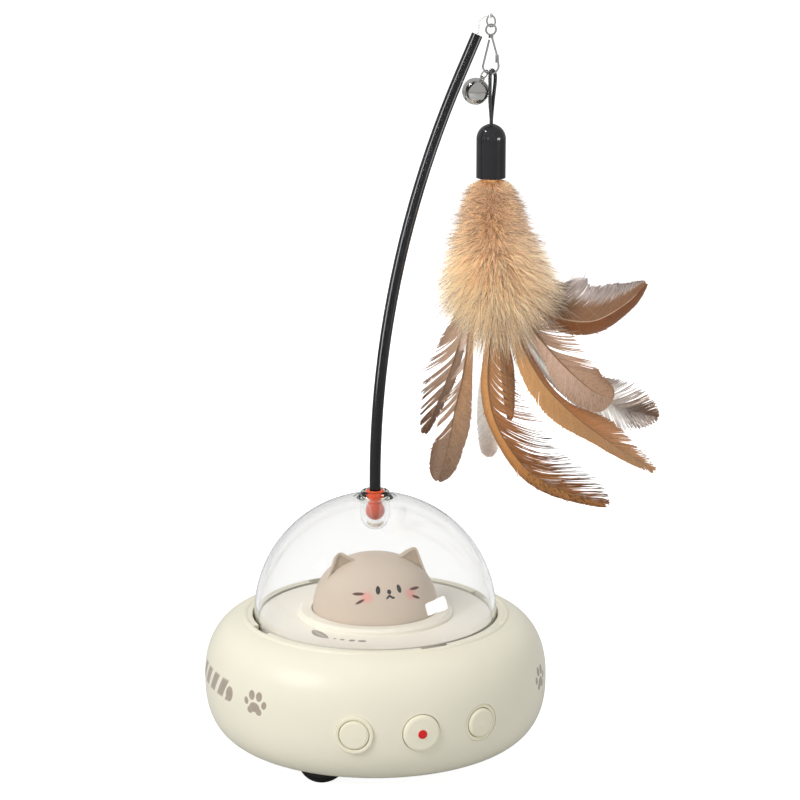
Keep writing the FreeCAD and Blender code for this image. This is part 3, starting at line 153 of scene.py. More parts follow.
def lay_floor():
    """A pale floor that blends into the surround."""
    bpy.ops.object.select_all(action="DESELECT")
    bpy.ops.mesh.primitive_plane_add(size=6, location=(0, 0, 0))
    floor = bpy.context.object
    floor.name = "studio_floor"
    pale = bpy.data.materials.new("pale_floor")
    pale.use_nodes = True
    tree = pale.node_tree
    tree.nodes.clear()
    out = tree.nodes.new("ShaderNodeOutputMaterial")
    matt, glow = tree.nodes.new("ShaderNodeBsdfDiffuse"), tree.nodes.new("ShaderNodeEmission")
    matt.inputs["Color"].default_value = (FLOOR_SHADE, FLOOR_SHADE, FLOOR_SHADE, 1)
    glow.inputs["Color"].default_value = (1, 1, 1, 1)
    path = tree.nodes.new("ShaderNodeLightPath")
    seen = number(tree, "MULTIPLY", path.outputs["Is Camera Ray"], FLOOR_SEEN)
    tree.links.new(number(tree, "ADD", seen, FLOOR_GLOW), glow.inputs["Strength"])
    add = tree.nodes.new("ShaderNodeAddShader")
    mix = tree.nodes.new("ShaderNodeMixShader")
    tree.links.new(seen_directly(tree), mix.inputs[0])
    tree.links.new(matt.outputs[0], mix.inputs[1])
    tree.links.new(matt.outputs[0], add.inputs[0])
    tree.links.new(glow.outputs[0], add.inputs[1])
    tree.links.new(add.outputs[0], mix.inputs[2])
    tree.links.new(mix.outputs[0], out.inputs["Surface"])
    floor.data.materials.append(pale)


def seen_directly(tree):
    """1 where the eye looks straight, or through a clear pane, at the backdrop."""
    path = tree.nodes.new("ShaderNodeLightPath")
    first = number(tree, "LESS_THAN", path.outputs["Diffuse Depth"], 0.5)
    clear = number(tree, "MULTIPLY", path.outputs["Is Transmission Ray"], first)
    return number(tree, "MAXIMUM", path.outputs["Is Camera Ray"], clear)


# Building blocks for the finishes

def number(tree, operation, *values):
    """One sum on numbers or sockets."""
    node = tree.nodes.new("ShaderNodeMath")
    node.operation = operation
    feed(tree, node, values)
    return node.outputs[0]


def feed(tree, node, values):
    """Gives a node's inputs sockets or fixed values, in order."""
    for socket, value in zip(node.inputs, values):
        if isinstance(value, bpy.types.NodeSocket):
            tree.links.new(value, socket)
        else:
            socket.default_value = value


def place_on(tree, source="Object"):
    """Where the shaded point lies on the object, or which way it faces."""
    return tree.nodes.new("ShaderNodeTexCoord").outputs[source]


def grain(tree, scale, detail=3.0, stretch=(1, 1, 1)):
    """Fine uneven noise from 0 to 1."""
    turn = tree.nodes.new("ShaderNodeMapping")
    turn.inputs["Scale"].default_value = stretch
    tree.links.new(place_on(tree), turn.inputs["Vector"])
    noise = tree.nodes.new("ShaderNodeTexNoise")
    noise.inputs["Scale"].default_value = scale
    noise.inputs["Detail"].default_value = detail
    tree.links.new(turn.outputs[0], noise.inputs["Vector"])
    return noise.outputs[0]


def spread(tree, value, low, high):
    """The span 0.3 to 0.7 of a value made the span low to high."""
    node = tree.nodes.new("ShaderNodeMapRange")
    feed(tree, node, (value, 0.3, 0.7, low, high))
    return node.outputs[0]


def blend_colour(tree, share, first, second):
    """Two colours mixed by a share from 0 to 1."""
    node = tree.nodes.new("ShaderNodeMix")
    node.data_type = "RGBA"
    for socket, value in zip((node.inputs[0], node.inputs[6], node.inputs[7]),
                             (share, first, second)):
        if isinstance(value, bpy.types.NodeSocket):
            tree.links.new(value, socket)
        elif isinstance(value, (int, float)):
            socket.default_value = value
        else:
            socket.default_value = (*value, 1)
    return node.outputs[2]


def relief(tree, shader, height, depth, strength=1.0):
    """Raises the surface by a height from 0 to 1, depth metres at most."""
    bump = tree.nodes.new("ShaderNodeBump")
    bump.inputs["Strength"].default_value = strength
    bump.inputs["Distance"].default_value = depth
    tree.links.new(height, bump.inputs["Height"])
    tree.links.new(bump.outputs[0], shader.inputs["Normal"])


def tone(red, green, blue):
    """A colour as seen on a screen, 0 to 255, made linear."""
    return tuple(((c / 255 + 0.055) / 1.055) ** 2.4 if c > 10 else c / 255 / 12.92
                 for c in (red, green, blue))


def finish(name, colour, rough, uneven, wear, pebble=0.0, size=900.0, **fixed):
    """A moulded, metal or rubber finish: slightly uneven colour and gloss, and fine relief."""
    material = bpy.data.materials.new(name)
    material.use_nodes = True
    tree = material.node_tree
    shader = tree.nodes["Principled BSDF"]
    lighter = tuple(min(c * (1 + uneven), 1) for c in colour)
    darker = tuple(c * (1 - uneven) for c in colour)
    patches = grain(tree, 60.0, 4.0)
    shade = blend_colour(tree, spread(tree, patches, 0, 1), darker, lighter)
    tree.links.new(shade, shader.inputs["Base Color"])
    if wear:
        gloss = spread(tree, grain(tree, 140.0, 5.0), max(rough - wear, 0.02), rough + wear)
        tree.links.new(gloss, shader.inputs["Roughness"])
    else:
        shader.inputs["Roughness"].default_value = rough
    if pebble:
        relief(tree, shader, grain(tree, size, 4.0), pebble)
    for socket, value in fixed.items():
        shader.inputs[socket.replace("_", " ")].default_value = value
    return material, tree, shader, shade


def put_on(material, *names):
    """Gives CAD nodes a finish in place of the plain one they came with."""
    for name in names:
        slots = nodes[name].data.materials
        for index in range(len(slots)):
            slots[index] = material
        if not len(slots):
            slots.append(material)


def dress(parts, *look, **fixed):
    """Gives parts a finish that needs nothing more."""
    put_on(finish(*look, **fixed)[0], *parts)


def apart(tree, where):
    """The three numbers of a point."""
    split = tree.nodes.new("ShaderNodeSeparateXYZ")
    tree.links.new(where, split.inputs[0])
    return split.outputs


def within(tree, far, edge):
    """1 where a distance is under 1, 0 where it is over, with a soft edge between."""
    fall = tree.nodes.new("ShaderNodeMapRange")
    feed(tree, fall, (far, 1 - edge, 1 + edge, 1.0, 0.0))
    return fall.outputs[0]


def spot(tree, where, centre, reach, turn, edge=0.06):
    """1 inside an ellipse on a flat map, 0 outside, with a thin soft edge."""
    node = tree.nodes.new("ShaderNodeMapping")
    node.vector_type = "TEXTURE"
    node.inputs["Location"].default_value = (*centre, 0)
    node.inputs["Rotation"].default_value = (0, 0, math.radians(turn))
    node.inputs["Scale"].default_value = (*reach, 1)
    tree.links.new(where, node.inputs["Vector"])
    length = tree.nodes.new("ShaderNodeVectorMath")
    length.operation = "LENGTH"
    tree.links.new(node.outputs[0], length.inputs[0])
    return within(tree, length.outputs["Value"], edge)


def bar(tree, where, centre, reach, lean):
    """1 inside a leaning block on a flat map, 0 outside."""
    point = apart(tree, where)
    up = number(tree, "SUBTRACT", point[1], centre[1])
    across = number(tree, "SUBTRACT", point[0], centre[0])
    across = number(tree, "SUBTRACT", across, number(tree, "MULTIPLY", up, lean))
    far = number(tree, "MAXIMUM",
                 number(tree, "DIVIDE", number(tree, "ABSOLUTE", across), reach[0]),
                 number(tree, "DIVIDE", number(tree, "ABSOLUTE", up), reach[1]))
    return within(tree, far, 0.12)


def stroke(tree, where, start, end, half):
    """1 along a short pen stroke on a flat map, 0 outside."""
    run = (end[0] - start[0], end[1] - start[1])
    reach = (math.hypot(*run) / 2 + half, half)
    middle = ((start[0] + end[0]) / 2, (start[1] + end[1]) / 2)
    return spot(tree, where, middle, reach, math.degrees(math.atan2(run[1], run[0])), 0.25)


def joined(tree, marks):
    """The highest of several marks."""
    total = marks[0]
    for mark in marks[1:]:
        total = number(tree, "MAXIMUM", total, mark)
    return total


def flat_map(tree, across, up):
    """A flat map made of two numbers."""
    flat = tree.nodes.new("ShaderNodeCombineXYZ")
    feed(tree, flat, (across, up))
    return flat.outputs[0]


def turned(tree, point):
    """How far a point is turned about the upright axis, in radians from the front."""
    return number(tree, "ARCTAN2", point[0], number(tree, "MULTIPLY", point[1], -1.0))


def wrapped(tree, radius):
    """A flat map of a round wall: millimetres round from the front, and up."""
    point = apart(tree, place_on(tree))
    return flat_map(tree, number(tree, "MULTIPLY", turned(tree, point), radius),
                    number(tree, "MULTIPLY", point[2], 1 / MM))


def ringed(tree, radius):
    """A flat map of a disc: millimetres round at a radius, and out from the middle."""
    point = apart(tree, place_on(tree))
    square = number(tree, "ADD", number(tree, "POWER", point[0], 2.0),
                    number(tree, "POWER", point[1], 2.0))
    return flat_map(tree, number(tree, "MULTIPLY", turned(tree, point), radius),
                    number(tree, "MULTIPLY", number(tree, "SQRT", square), 1 / MM))


def mirrored(tree, where):
    """The same flat map folded on its middle, so one set of marks shows on both sides."""
    point = apart(tree, where)
    left = number(tree, "MULTIPLY", number(tree, "ABSOLUTE", point[0]), -1.0)
    return flat_map(tree, left, point[1])


def inked(tree, shader, plain, marks, ink):
    """Lays printed marks over a plain colour, a little uneven as screen print is."""
    cover = number(tree, "MULTIPLY", marks, spread(tree, grain(tree, 500.0, 5.0), 0.78, 0.9))
    tree.links.new(blend_colour(tree, cover, plain, ink), shader.inputs["Base Color"])


# Finishes of the moulded, metal and rubber parts. Relief is in metres, marks on a flat map in
# millimetres.

def dress_shell():
    """Glossy cream shell with a paw mark and tail bars round each side."""
    material, tree, shader, plain = finish(
        "cream_plastic", tone(253, 248, 226), 0.34, 0.012, 0.03, 0.000008, 1500.0,
        Coat_Weight=0.25, Coat_Roughness=0.15)
    flat = mirrored(tree, wrapped(tree, SHELL_RADIUS))
    marks = [spot(tree, flat, centre, reach, turn) for centre, reach, turn in (
        ((-62.05, 34.35), (1.37, 1.65), 8), ((-58.6, 34.4), (1.37, 1.65), -8),
        ((-64.5, 32.0), (1.0, 1.27), 20), ((-56.15, 31.9), (1.06, 1.39), -20),
        ((-60.5, 30.45), (2.35, 1.65), 0), ((-62.4, 29.3), (1.45, 1.2), 20),
        ((-58.6, 29.25), (1.45, 1.3), -20))]
    notch = spot(tree, flat, (-60.6, 27.85), (1.0, 0.85), 0, 0.12)
    paw = number(tree, "MULTIPLY", joined(tree, marks), number(tree, "SUBTRACT", 1.0, notch))
    lean = 0.577
    tail = [bar(tree, flat, centre, reach, lean) for centre, reach in (
        ((-79.6, 32.45), (2.15, 3.3)), ((-86.5, 32.45), (2.15, 3.3)),
        ((-93.6, 32.45), (2.15, 3.3)), ((-100.6, 32.4), (2.2, 3.3)))]
    tip = number(tree, "MAXIMUM", spot(tree, flat, (-74.5, 31.5), (2.1, 2.75), -20),
                 bar(tree, flat, (-75.6, 30.3), (1.0, 1.5), lean))
    inked(tree, shader, plain, joined(tree, [paw, tip, *tail]), tone(164, 146, 132))
    put_on(material, "body_shell")
    dress(("chassis_plate", "battery_door"), "cream_underside", tone(240, 234, 217), 0.4, 0.02,
          0.05, 0.00003, 1200.0)
    # Painted shade: the seat in the groove round the dome's foot gets a dark olive beige,
    # standing in for the shadow in the groove.
    dress(("dome_seat",), "groove_plastic", tone(158, 150, 110), 0.45, 0.05, 0.05, 0.00003,
          1200.0)


def dress_deck():
    """Satin cream deck under the dome, with a leaf and four growing dashes."""
    material, tree, shader, plain = finish(
        "deck_plastic", tone(252, 246, 232), 0.38, 0.015, 0.05, 0.00002, 1500.0)
    leaf_ring, dash_ring, leaf_curve = 31.5, 32.5, (9.4, 9.4)
    flat = ringed(tree, leaf_ring)
    leaf = number(tree, "MULTIPLY", spot(tree, flat, (-31.8, 38), leaf_curve, 0, 0.02),
                  spot(tree, flat, (-26, 24.2), leaf_curve, 0, 0.02))
    vein = spot(tree, flat, (-28.9, 31.1), (5, 0.2), 23, 0.3)
    leaf = number(tree, "SUBTRACT", leaf, number(tree, "MULTIPLY", vein, 0.6))
    dashes = [spot(tree, flat, (math.radians(angle) * leaf_ring, dash_ring), (long / 2, high), 5,
                   0.15)
              for angle, long, high in ((-39.7, 1.1, 0.5), (-34.8, 1.6, 0.75), (-28.8, 2.1, 1.05),
                                        (-22.7, 2.8, 1.15))]
    inked(tree, shader, plain, joined(tree, [leaf, *dashes]), tone(128, 118, 98))
    put_on(material, "deck_plate")
    dress(("collar_ring",), "collar_plastic", tone(248, 242, 227), 0.38, 0.015, 0.05, 0.00002,
          1500.0)


def dress_head():
    """Matt beige head: two eyes, nose, mouth, whiskers, blushing cheeks and painted shade in the
    ear hollows.
    """
    material, tree, shader, plain = finish(
        "head_plastic", tone(211, 194, 176), 0.5, 0.02, 0.05, 0.00001, 1400.0)
    flat = wrapped(tree, HEAD_RADIUS)
    ear_face, ear_facing = -1.9, -0.9
    depth = number(tree, "MULTIPLY", apart(tree, place_on(tree))[1], 1 / MM)
    facing = apart(tree, place_on(tree, "Normal"))[1]
    # Painted shade: the forward-facing floor of each ear's hollow is made darker beige, standing
    # in for the shade that falls in the hollow.
    painted_ear_shade = number(tree, "MULTIPLY", number(tree, "COMPARE", depth, ear_face, 0.15),
                  number(tree, "LESS_THAN", facing, ear_facing))
    plain = blend_colour(tree, number(tree, "MULTIPLY", painted_ear_shade, 0.9), plain, tone(184, 166, 142))
    cheeks = [spot(tree, flat, (side * 9.0, 61.3), (2.1, 1.6), 0, 0.5) for side in (-1, 1)]
    blush = blend_colour(tree, number(tree, "MULTIPLY", joined(tree, cheeks), 0.6), plain,
                         tone(238, 140, 136))
    whiskers = [stroke(tree, flat, start, end, 0.46) for start, end in (
        ((-14.5, 62.05), (-10.55, 62.3)), ((-12.6, 59.2), (-10.25, 60.4)),
        ((9.87, 62.65), (14.1, 62.55)), ((9.95, 60.5), (12.4, 59.45)))]
    eyes = [spot(tree, flat, (side * 4.55, 63.45), (0.95, 1.25), 0, 0.08) for side in (-1, 1)]
    nose = spot(tree, flat, (0, 62.85), (0.85, 0.72), 0, 0.1)
    mouth = [stroke(tree, flat, start, end, 0.36) for start, end in (
        ((0, 61.75), (-1.2, 60.95)), ((0, 61.75), (0.85, 61.05)), ((0.85, 61.05), (1.6, 61.0)))]
    lashes = blend_colour(tree, joined(tree, whiskers), blush, tone(84, 32, 18))
    tree.links.new(blend_colour(tree, joined(tree, [*eyes, nose, *mouth]), lashes,
                                tone(14, 11, 10)), shader.inputs["Base Color"])
    put_on(material, "cat_head")


def dress_clear():
    """Clear dome, clear line at the rod's tip, and the glossy orange plug."""
    dress(("dome",), "clear_plastic", (0.945, 0.946, 0.943), 0.0, 0.0, 0.0,
          Transmission_Weight=1.0, IOR=1.49)
    dress(("tip_line",), "clear_cord", (0.9, 0.9, 0.88), 0.1, 0.0, 0.03,
          Transmission_Weight=0.6, IOR=1.5)
    dress(("wand_plug",), "orange_silicone", tone(246, 96, 52), 0.32, 0.04, 0.06, 0.00003, 900.0,
          Subsurface_Weight=0.15, Subsurface_Radius=(0.002, 0.0008, 0.0004))


def dress_wand():
    """Black satin rod with long polish lines, glossy cap, wire fittings and the bell."""
    material, tree, shader, _ = finish("rod_black", (0.006, 0.006, 0.007), 0.13, 0.2, 0.02,
                                       Specular_IOR_Level=0.4)
    relief(tree, shader, grain(tree, 420.0, 3.0, (1, 1, 0.04)), 0.000004, 0.2)
    put_on(material, "wand_tube")
    dress(("lure_cap",), "cap_black", (0.007, 0.007, 0.008), 0.14, 0.2, 0.04, 0.00002, 600.0,
          Coat_Weight=0.25, Coat_Roughness=0.06)
    dress(("quill_core",), "core_tan", tone(176, 130, 82), 0.7, 0.1, 0.1, 0.0001, 900.0)
    dress(("top_ring", "snap_clip", "clip_arm", "jump_ring", "bell_pellet"), "wire_steel",
          tone(212, 212, 209), 0.3, 0.06, 0.07, 0.00001, 2500.0, Metallic=1.0)
    dress(("bell_shell",), "bell_metal", tone(222, 220, 216), 0.2, 0.05, 0.08, 0.00003, 900.0,
          Metallic=1.0)


def dress_buttons():
    """Cream keys in their rings, with the red lamp in the middle one."""
    dress(("power_button", "mode_button", "status_button", "button_rings"), "key_plastic",
          tone(254, 249, 224), 0.36, 0.012, 0.03, 0.00002, 1500.0)
    dress(("status_led",), "red_lamp", tone(206, 14, 10), 0.25, 0.1, 0.04,
          Emission_Color=(1.0, 0.02, 0.01, 1), Emission_Strength=0.12)


def dress_works():
    """Wheels, caster, motors, battery, boards and screws under and inside the shell."""
    for name, parts, colour, rough, pebble, fixed in (
            ("wheel_plastic", ("left_wheel_hub", "right_wheel_hub", "caster_wheel",
                               "caster_fork"), (0.022, 0.022, 0.024), 0.42, 0.00003, {}),
            ("tyre_rubber", ("left_tyre", "right_tyre"), (0.016, 0.016, 0.017), 0.7, 0.00008,
             {}),
            ("bearing_plastic", ("axle_bearings", "caster_clip"), tone(236, 234, 226), 0.38,
             0.00002, {}),
            ("gear_plastic", ("left_wheel_gear", "right_wheel_gear", "left_pinion",
                              "right_pinion"), tone(240, 238, 228), 0.35, 0.00002, {}),
            ("motor_metal", ("left_motor", "right_motor"), tone(188, 188, 186), 0.3, 0.00001,
             {"Metallic": 1.0}),
            ("axle_metal", ("left_axle", "right_axle", "caster_axle", "board_screws",
                            "case_screws"), tone(196, 195, 190), 0.25, 0.00001,
             {"Metallic": 1.0}),
            ("port_metal", ("charging_port",), tone(178, 178, 176), 0.25, 0.00001,
             {"Metallic": 1.0}),
            ("battery_film", ("battery_cell",), tone(58, 108, 178), 0.28, 0.00004,
             {"Coat_Weight": 0.4}),
            ("board_mask", ("main_board", "switch_strip"), tone(22, 92, 52), 0.35, 0.00003,
             {"Coat_Weight": 0.3}),
            ("chip_resin", ("board_chips", "tact_switches"), (0.02, 0.02, 0.022), 0.5,
             0.00004, {})):
        dress(parts, name, colour, rough, 0.06, 0.06, pebble, 1200.0, **fixed)


# Woven cord through the clip

def hang_cord():
    """The black cord loop: out of the cap, over the clip's bow and back."""
    middle, top, left, right, gap, foot = 41.2, 238.6, 1.0, 1.75, 1.4, 21.2
    curve = bpy.data.curves.new("lure_cord", "CURVE")
    curve.dimensions = "3D"
    curve.bevel_depth, curve.bevel_resolution = 0.62 * MM, 5
    curve.use_fill_caps = True
    spline = curve.splines.new("NURBS")
    route = [(0, -0.64, top - foot), (-0.2, -0.7, top - 16.5), (-0.9, -1.0, top - 10),
             (-left, -gap, top - 4), (-left, -gap, top - 1.2), (-0.55, -0.7, top + 0.2),
             (0.55, 0.7, top + 0.2), (right, gap, top - 1.2), (right, gap, top - 4),
             (0.9, 1.0, top - 10), (0.2, 0.7, top - 16.5), (0, 0.64, top - foot)]
    spline.points.add(len(route) - 1)
    for point, (x, y, z) in zip(spline.points, route):
        point.co = ((x + middle) * MM, y * MM, z * MM, 1)
    spline.order_u = 3
    spline.use_endpoint_u = True
    spline.resolution_u = 12
    loop = bpy.data.objects.new("lure_cord", curve)
    scene.collection.objects.link(loop)
    material, tree, shader, _ = finish("braid_black", (0.014, 0.014, 0.015), 0.6, 0.3, 0.1,
                                       Sheen_Weight=0.3)
    wave = tree.nodes.new("ShaderNodeTexWave")
    wave.wave_type, wave.bands_direction = "BANDS", "DIAGONAL"
    wave.inputs["Scale"].default_value = 700.0
    wave.inputs["Distortion"].default_value = 1.5
    tree.links.new(place_on(tree), wave.inputs["Vector"])
    relief(tree, shader, wave.outputs["Fac"], 0.00012)
    curve.materials.append(material)
    x, y, z = route[0]
    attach(loop, "lure")
    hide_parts("cord_loop")


# Ribbons that make up down and feathers

class Ribbons:
    """Many thin ribbons gathered in one mesh, with a colour at each point."""

    def __init__(self):
        self.points, self.faces, self.colours = [], [], []

    def add(self, path, across, widths, colours):
        """One ribbon along a path; across says which way it is wide."""
        first = len(self.points)
        for place, side, width, colour in zip(path, across, widths, colours):
            self.points += [place - side * (width / 2), place + side * (width / 2)]
            self.colours += [colour, colour]
        self.faces += [(i, i + 1, i + 3, i + 2)
                       for i in range(first, len(self.points) - 2, 2)]

    def tube(self, path, radii, colours, sides=8):
        """A round tapering stem along a path."""
        first = len(self.points)
        for index, (place, radius, colour) in enumerate(zip(path, radii, colours)):
            ahead = path[min(index + 1, len(path) - 1)] - path[max(index - 1, 0)]
            u = ahead.cross(Vector((0, 1, 0))).normalized()
            v = ahead.cross(u).normalized()
            for k in range(sides):
                turn = 2 * math.pi * k / sides
                self.points.append(place + (u * math.cos(turn) + v * math.sin(turn)) * radius)
                self.colours.append(colour)
        for row in range(len(path) - 1):
            for k in range(sides):
                a, b = first + row * sides + k, first + row * sides + (k + 1) % sides
                self.faces.append((a, b, b + sides, a + sides))

    def piece(self, name, material, body, replaced, slot_name):
        """The finished object, riding on its body, in place of its solid if it has one."""
        mesh = bpy.data.meshes.new(name)
        mesh.from_pydata([tuple(point * MM) for point in self.points], [], self.faces)
        layer = mesh.color_attributes.new("tint", "FLOAT_COLOR", "POINT")
        layer.data.foreach_set("color", [part for colour in self.colours
                                         for part in (*colour, 1.0)])
        mesh.materials.append(material)
        mesh.polygons.foreach_set("use_smooth", [True] * len(mesh.polygons))
        made = bpy.data.objects.new(name, mesh)
        scene.collection.objects.link(made)
        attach(made, body)
        if replaced:
            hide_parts(replaced)


def plume(name, rough, sheen, through_light):
    """A soft finish that takes its colour from the ribbons, streaked along them."""
    material = bpy.data.materials.new(name)
    material.use_nodes = True
    tree = material.node_tree
    shader = tree.nodes["Principled BSDF"]
    tint = tree.nodes.new("ShaderNodeVertexColor")
    tint.layer_name = "tint"
    dark = tree.nodes.new("ShaderNodeMix")
    dark.data_type, dark.blend_type = "RGBA", "MULTIPLY"
    dark.inputs[0].default_value = 1.0
    tree.links.new(tint.outputs["Color"], dark.inputs[6])
    level = spread(tree, grain(tree, 1500.0, 3.0), 0.9, 1.1)
    grey = tree.nodes.new("ShaderNodeCombineColor")
    for socket in grey.inputs[:3]:
        tree.links.new(level, socket)
    tree.links.new(grey.outputs[0], dark.inputs[7])
    tree.links.new(dark.outputs[2], shader.inputs["Base Color"])
    tree.links.new(spread(tree, grain(tree, 300.0), rough - 0.1, rough + 0.1),
                   shader.inputs["Roughness"])
    shader.inputs["Sheen Weight"].default_value = sheen
    shader.inputs["Specular IOR Level"].default_value = 0.3
    thin = tree.nodes.new("ShaderNodeBsdfTranslucent")
    tree.links.new(dark.outputs[2], thin.inputs["Color"])
    mix = tree.nodes.new("ShaderNodeMixShader")
    mix.inputs[0].default_value = through_light
    tree.links.new(shader.outputs[0], mix.inputs[1])
    tree.links.new(thin.outputs[0], mix.inputs[2])
    tree.links.new(mix.outputs[0], tree.nodes["Material Output"].inputs["Surface"])
    return material


def mixed(first, second, share):
    """A colour part of the way from one to another."""
    share = min(max(share, 0.0), 1.0)
    return tuple(a + (b - a) * share for a, b in zip(first, second))


def tinted(colour, level):
    """A colour made darker or lighter."""
    return tuple(min(part * level, 1.0) for part in colour)


def through(values, share):
    """A smooth line through evenly spaced values, numbers or vectors, at a share of it."""
    last = len(values) - 1
    place = min(max(share, 0.0), 0.999999) * last
    index = int(place)
    t = place - index
    b, c = values[index], values[index + 1]
    a = values[index - 1] if index else b * 2 - c
    d = values[index + 2] if index + 2 <= last else c * 2 - b
    return (b * 2 + (c - a) * t + (a * 2 - b * 5 + c * 4 - d) * t * t
            + (b * 3 - a - c * 3 + d) * t * t * t) * 0.5


# Feathers

OCHRE, RUST, BROWN = tone(188, 145, 98), tone(168, 114, 72), tone(132, 98, 74)
GREY, TAUPE, DARK = tone(206, 192, 182), tone(172, 144, 122), tone(76, 56, 44)
PALE, WHITE = tone(240, 232, 226), tone(250, 248, 245)
STRAY, CORE_TAN = tone(128, 108, 94), tone(150, 104, 64)
HORNS = {"feather_down": PALE, "feather_pale": PALE, "feather_wing": tone(196, 164, 136)}
BARB_STEPS, STEM_STEPS = 9, 60
STEM_RADIUS, STEM_TAPER, VANE_END = 0.42, 10 / 11, 0.9
FACING = Vector((0, 1, 0))

# Each feather: its shaft's points in millimetres from the cap's mouth, how far its barbs sweep
# forward, how blunt its tip is, and for its upper or right vane and its lower or left vane:
# widths at a quarter, half and three quarters of the way, colours from root to tip, edge
# colour, open stretches (start, end, how open)
FEATHERS = {
    "feather_back": (
        ((-4, 5, -40), (-9, 8, -60), (-12, 11, -72), (-15, 14, -82), (-19, 16, -93)),
        1.3, 0.3,
        ((2.4, 3.1, 2.8), (TAUPE, TAUPE, BROWN), BROWN, ((0.5, 0.9, 0.5),)),
        ((7.6, 9.6, 6.4), (TAUPE, TAUPE, BROWN), DARK, ((0.12, 0.95, 1.0),))),
    "feather_pale": (
        ((2.5, 5.6, -46), (3, 8, -66), (3, 9.6, -79), (4, 11, -93), (4, 11.6, -102)),
        1.1, 0.9,
        ((2.6, 3.6, 3.8), (WHITE, WHITE, PALE), WHITE, ((0.7, 0.95, 0.4),)),
        ((3, 4.4, 4.8), (WHITE, WHITE, PALE), WHITE, ((0.6, 0.9, 0.3),))),
    "feather_down": (
        ((6, 3.6, -45), (25, 7.6, -70), (41, 10, -81), (56, 12, -88), (68, 13, -92)),
        1.6, 0.5,
        ((3.4, 7.4, 10.4), (WHITE, WHITE, TAUPE), BROWN, ((0.45, 1.0, 1.0),)),
        ((3.4, 6.6, 8.4), (WHITE, WHITE, PALE), BROWN, ((0.5, 1.0, 0.9),))),
    "feather_round": (
        ((6, -3.4, -42), (19, -5.6, -59), (27, -7.6, -68), (35, -9.4, -75), (42, -10.6, -78)),
        1.1, 1.0,
        ((9.6, 9.2, 5.8), (TAUPE, tone(176, 144, 120), tone(172, 138, 112)), BROWN,
         ((0.08, 0.5, 1.0),)),
        ((3.4, 7, 6.6), (tone(194, 166, 146), tone(188, 160, 140), TAUPE), TAUPE, ())),
    "feather_left": (
        ((-7, -1, -44), (-10, -3, -65), (-14, -5, -80), (-17, -7, -92), (-21, -8.4, -104)),
        1.15, 1.0,
        ((3.1, 6.2, 5.6), (OCHRE, tone(192, 156, 122), TAUPE), TAUPE, ((0.88, 0.95, 0.3),)),
        ((3.4, 6, 5.6), (GREY, TAUPE, TAUPE), BROWN, ((0.1, 0.66, 1.0),))),
    "feather_wing": (
        ((5, -2, -33), (13, -2.6, -42), (23, -3.6, -49), (36, -5, -51), (48, -6, -45),
         (55, -6.6, -38)),
        1.5, 0.2,
        ((9.5, 16.5, 10.5), (tone(178, 158, 142), tone(166, 153, 146), tone(150, 134, 124)),
         tone(118, 110, 108), ((0.1, 0.95, 0.28),)),
        ((3.2, 4.8, 3.6), (tone(168, 116, 72), tone(135, 86, 51), tone(135, 86, 51)), BROWN,
         ((0.6, 0.8, 0.2),))),
    "feather_long": (
        ((5, -1.6, -44), (15, -4, -67), (25, -6, -80), (39, -7.8, -92), (59, -9, -106)),
        1.5, 0.5,
        ((1.7, 1.9, 6.4), (BROWN, RUST, tone(204, 162, 122)), BROWN, ((0.68, 1.0, 1.0),)),
        ((5.2, 6.4, 3.6), (tone(196, 156, 110), OCHRE, tone(196, 158, 122)), tone(196, 154, 108),
         ((0.24, 0.34, 0.5), (0.86, 1.0, 0.8)))),
    "feather_small": (
        ((1.5, -3.6, -44), (3.2, -5.4, -56), (4.4, -6.6, -66), (5, -7.2, -76), (5.4, -7.6, -84)),
        1.2, 0.5,
        ((1.8, 2.4, 2), (tone(176, 118, 84), RUST, RUST), DARK, ()),
        ((1.8, 2.4, 2), (tone(176, 118, 84), RUST, RUST), DARK, ())),
    "feather_speckled": (
        ((-0.5, -5, -47), (-3, -8.6, -71), (1, -12, -88), (14, -14.4, -104), (39, -16, -115)),
        1.9, 0.7,
        ((9.5, 15.5, 13.5), (OCHRE, RUST, RUST), DARK, ((0.14, 0.98, 1.0),)),
        ((2.8, 2.8, 3.4), (OCHRE, tone(204, 150, 92), tone(196, 140, 84)), BROWN, ())),
}


# Feathers that split into a few wide locks
CURLED = ("feather_round", "feather_back", "feather_left")


def vane_width(widths, blunt, place):
    """How wide a vane is at a place along the shaft; a blunt tip stays wide for longer."""
    plain = through(widths, place)
    if place < 0.75:
        return plain
    full = widths[3] * math.sqrt(max(1 - ((place - 0.75) / 0.25) ** 2.6, 0))
    return max(plain + (full - plain) * blunt, 0.1)


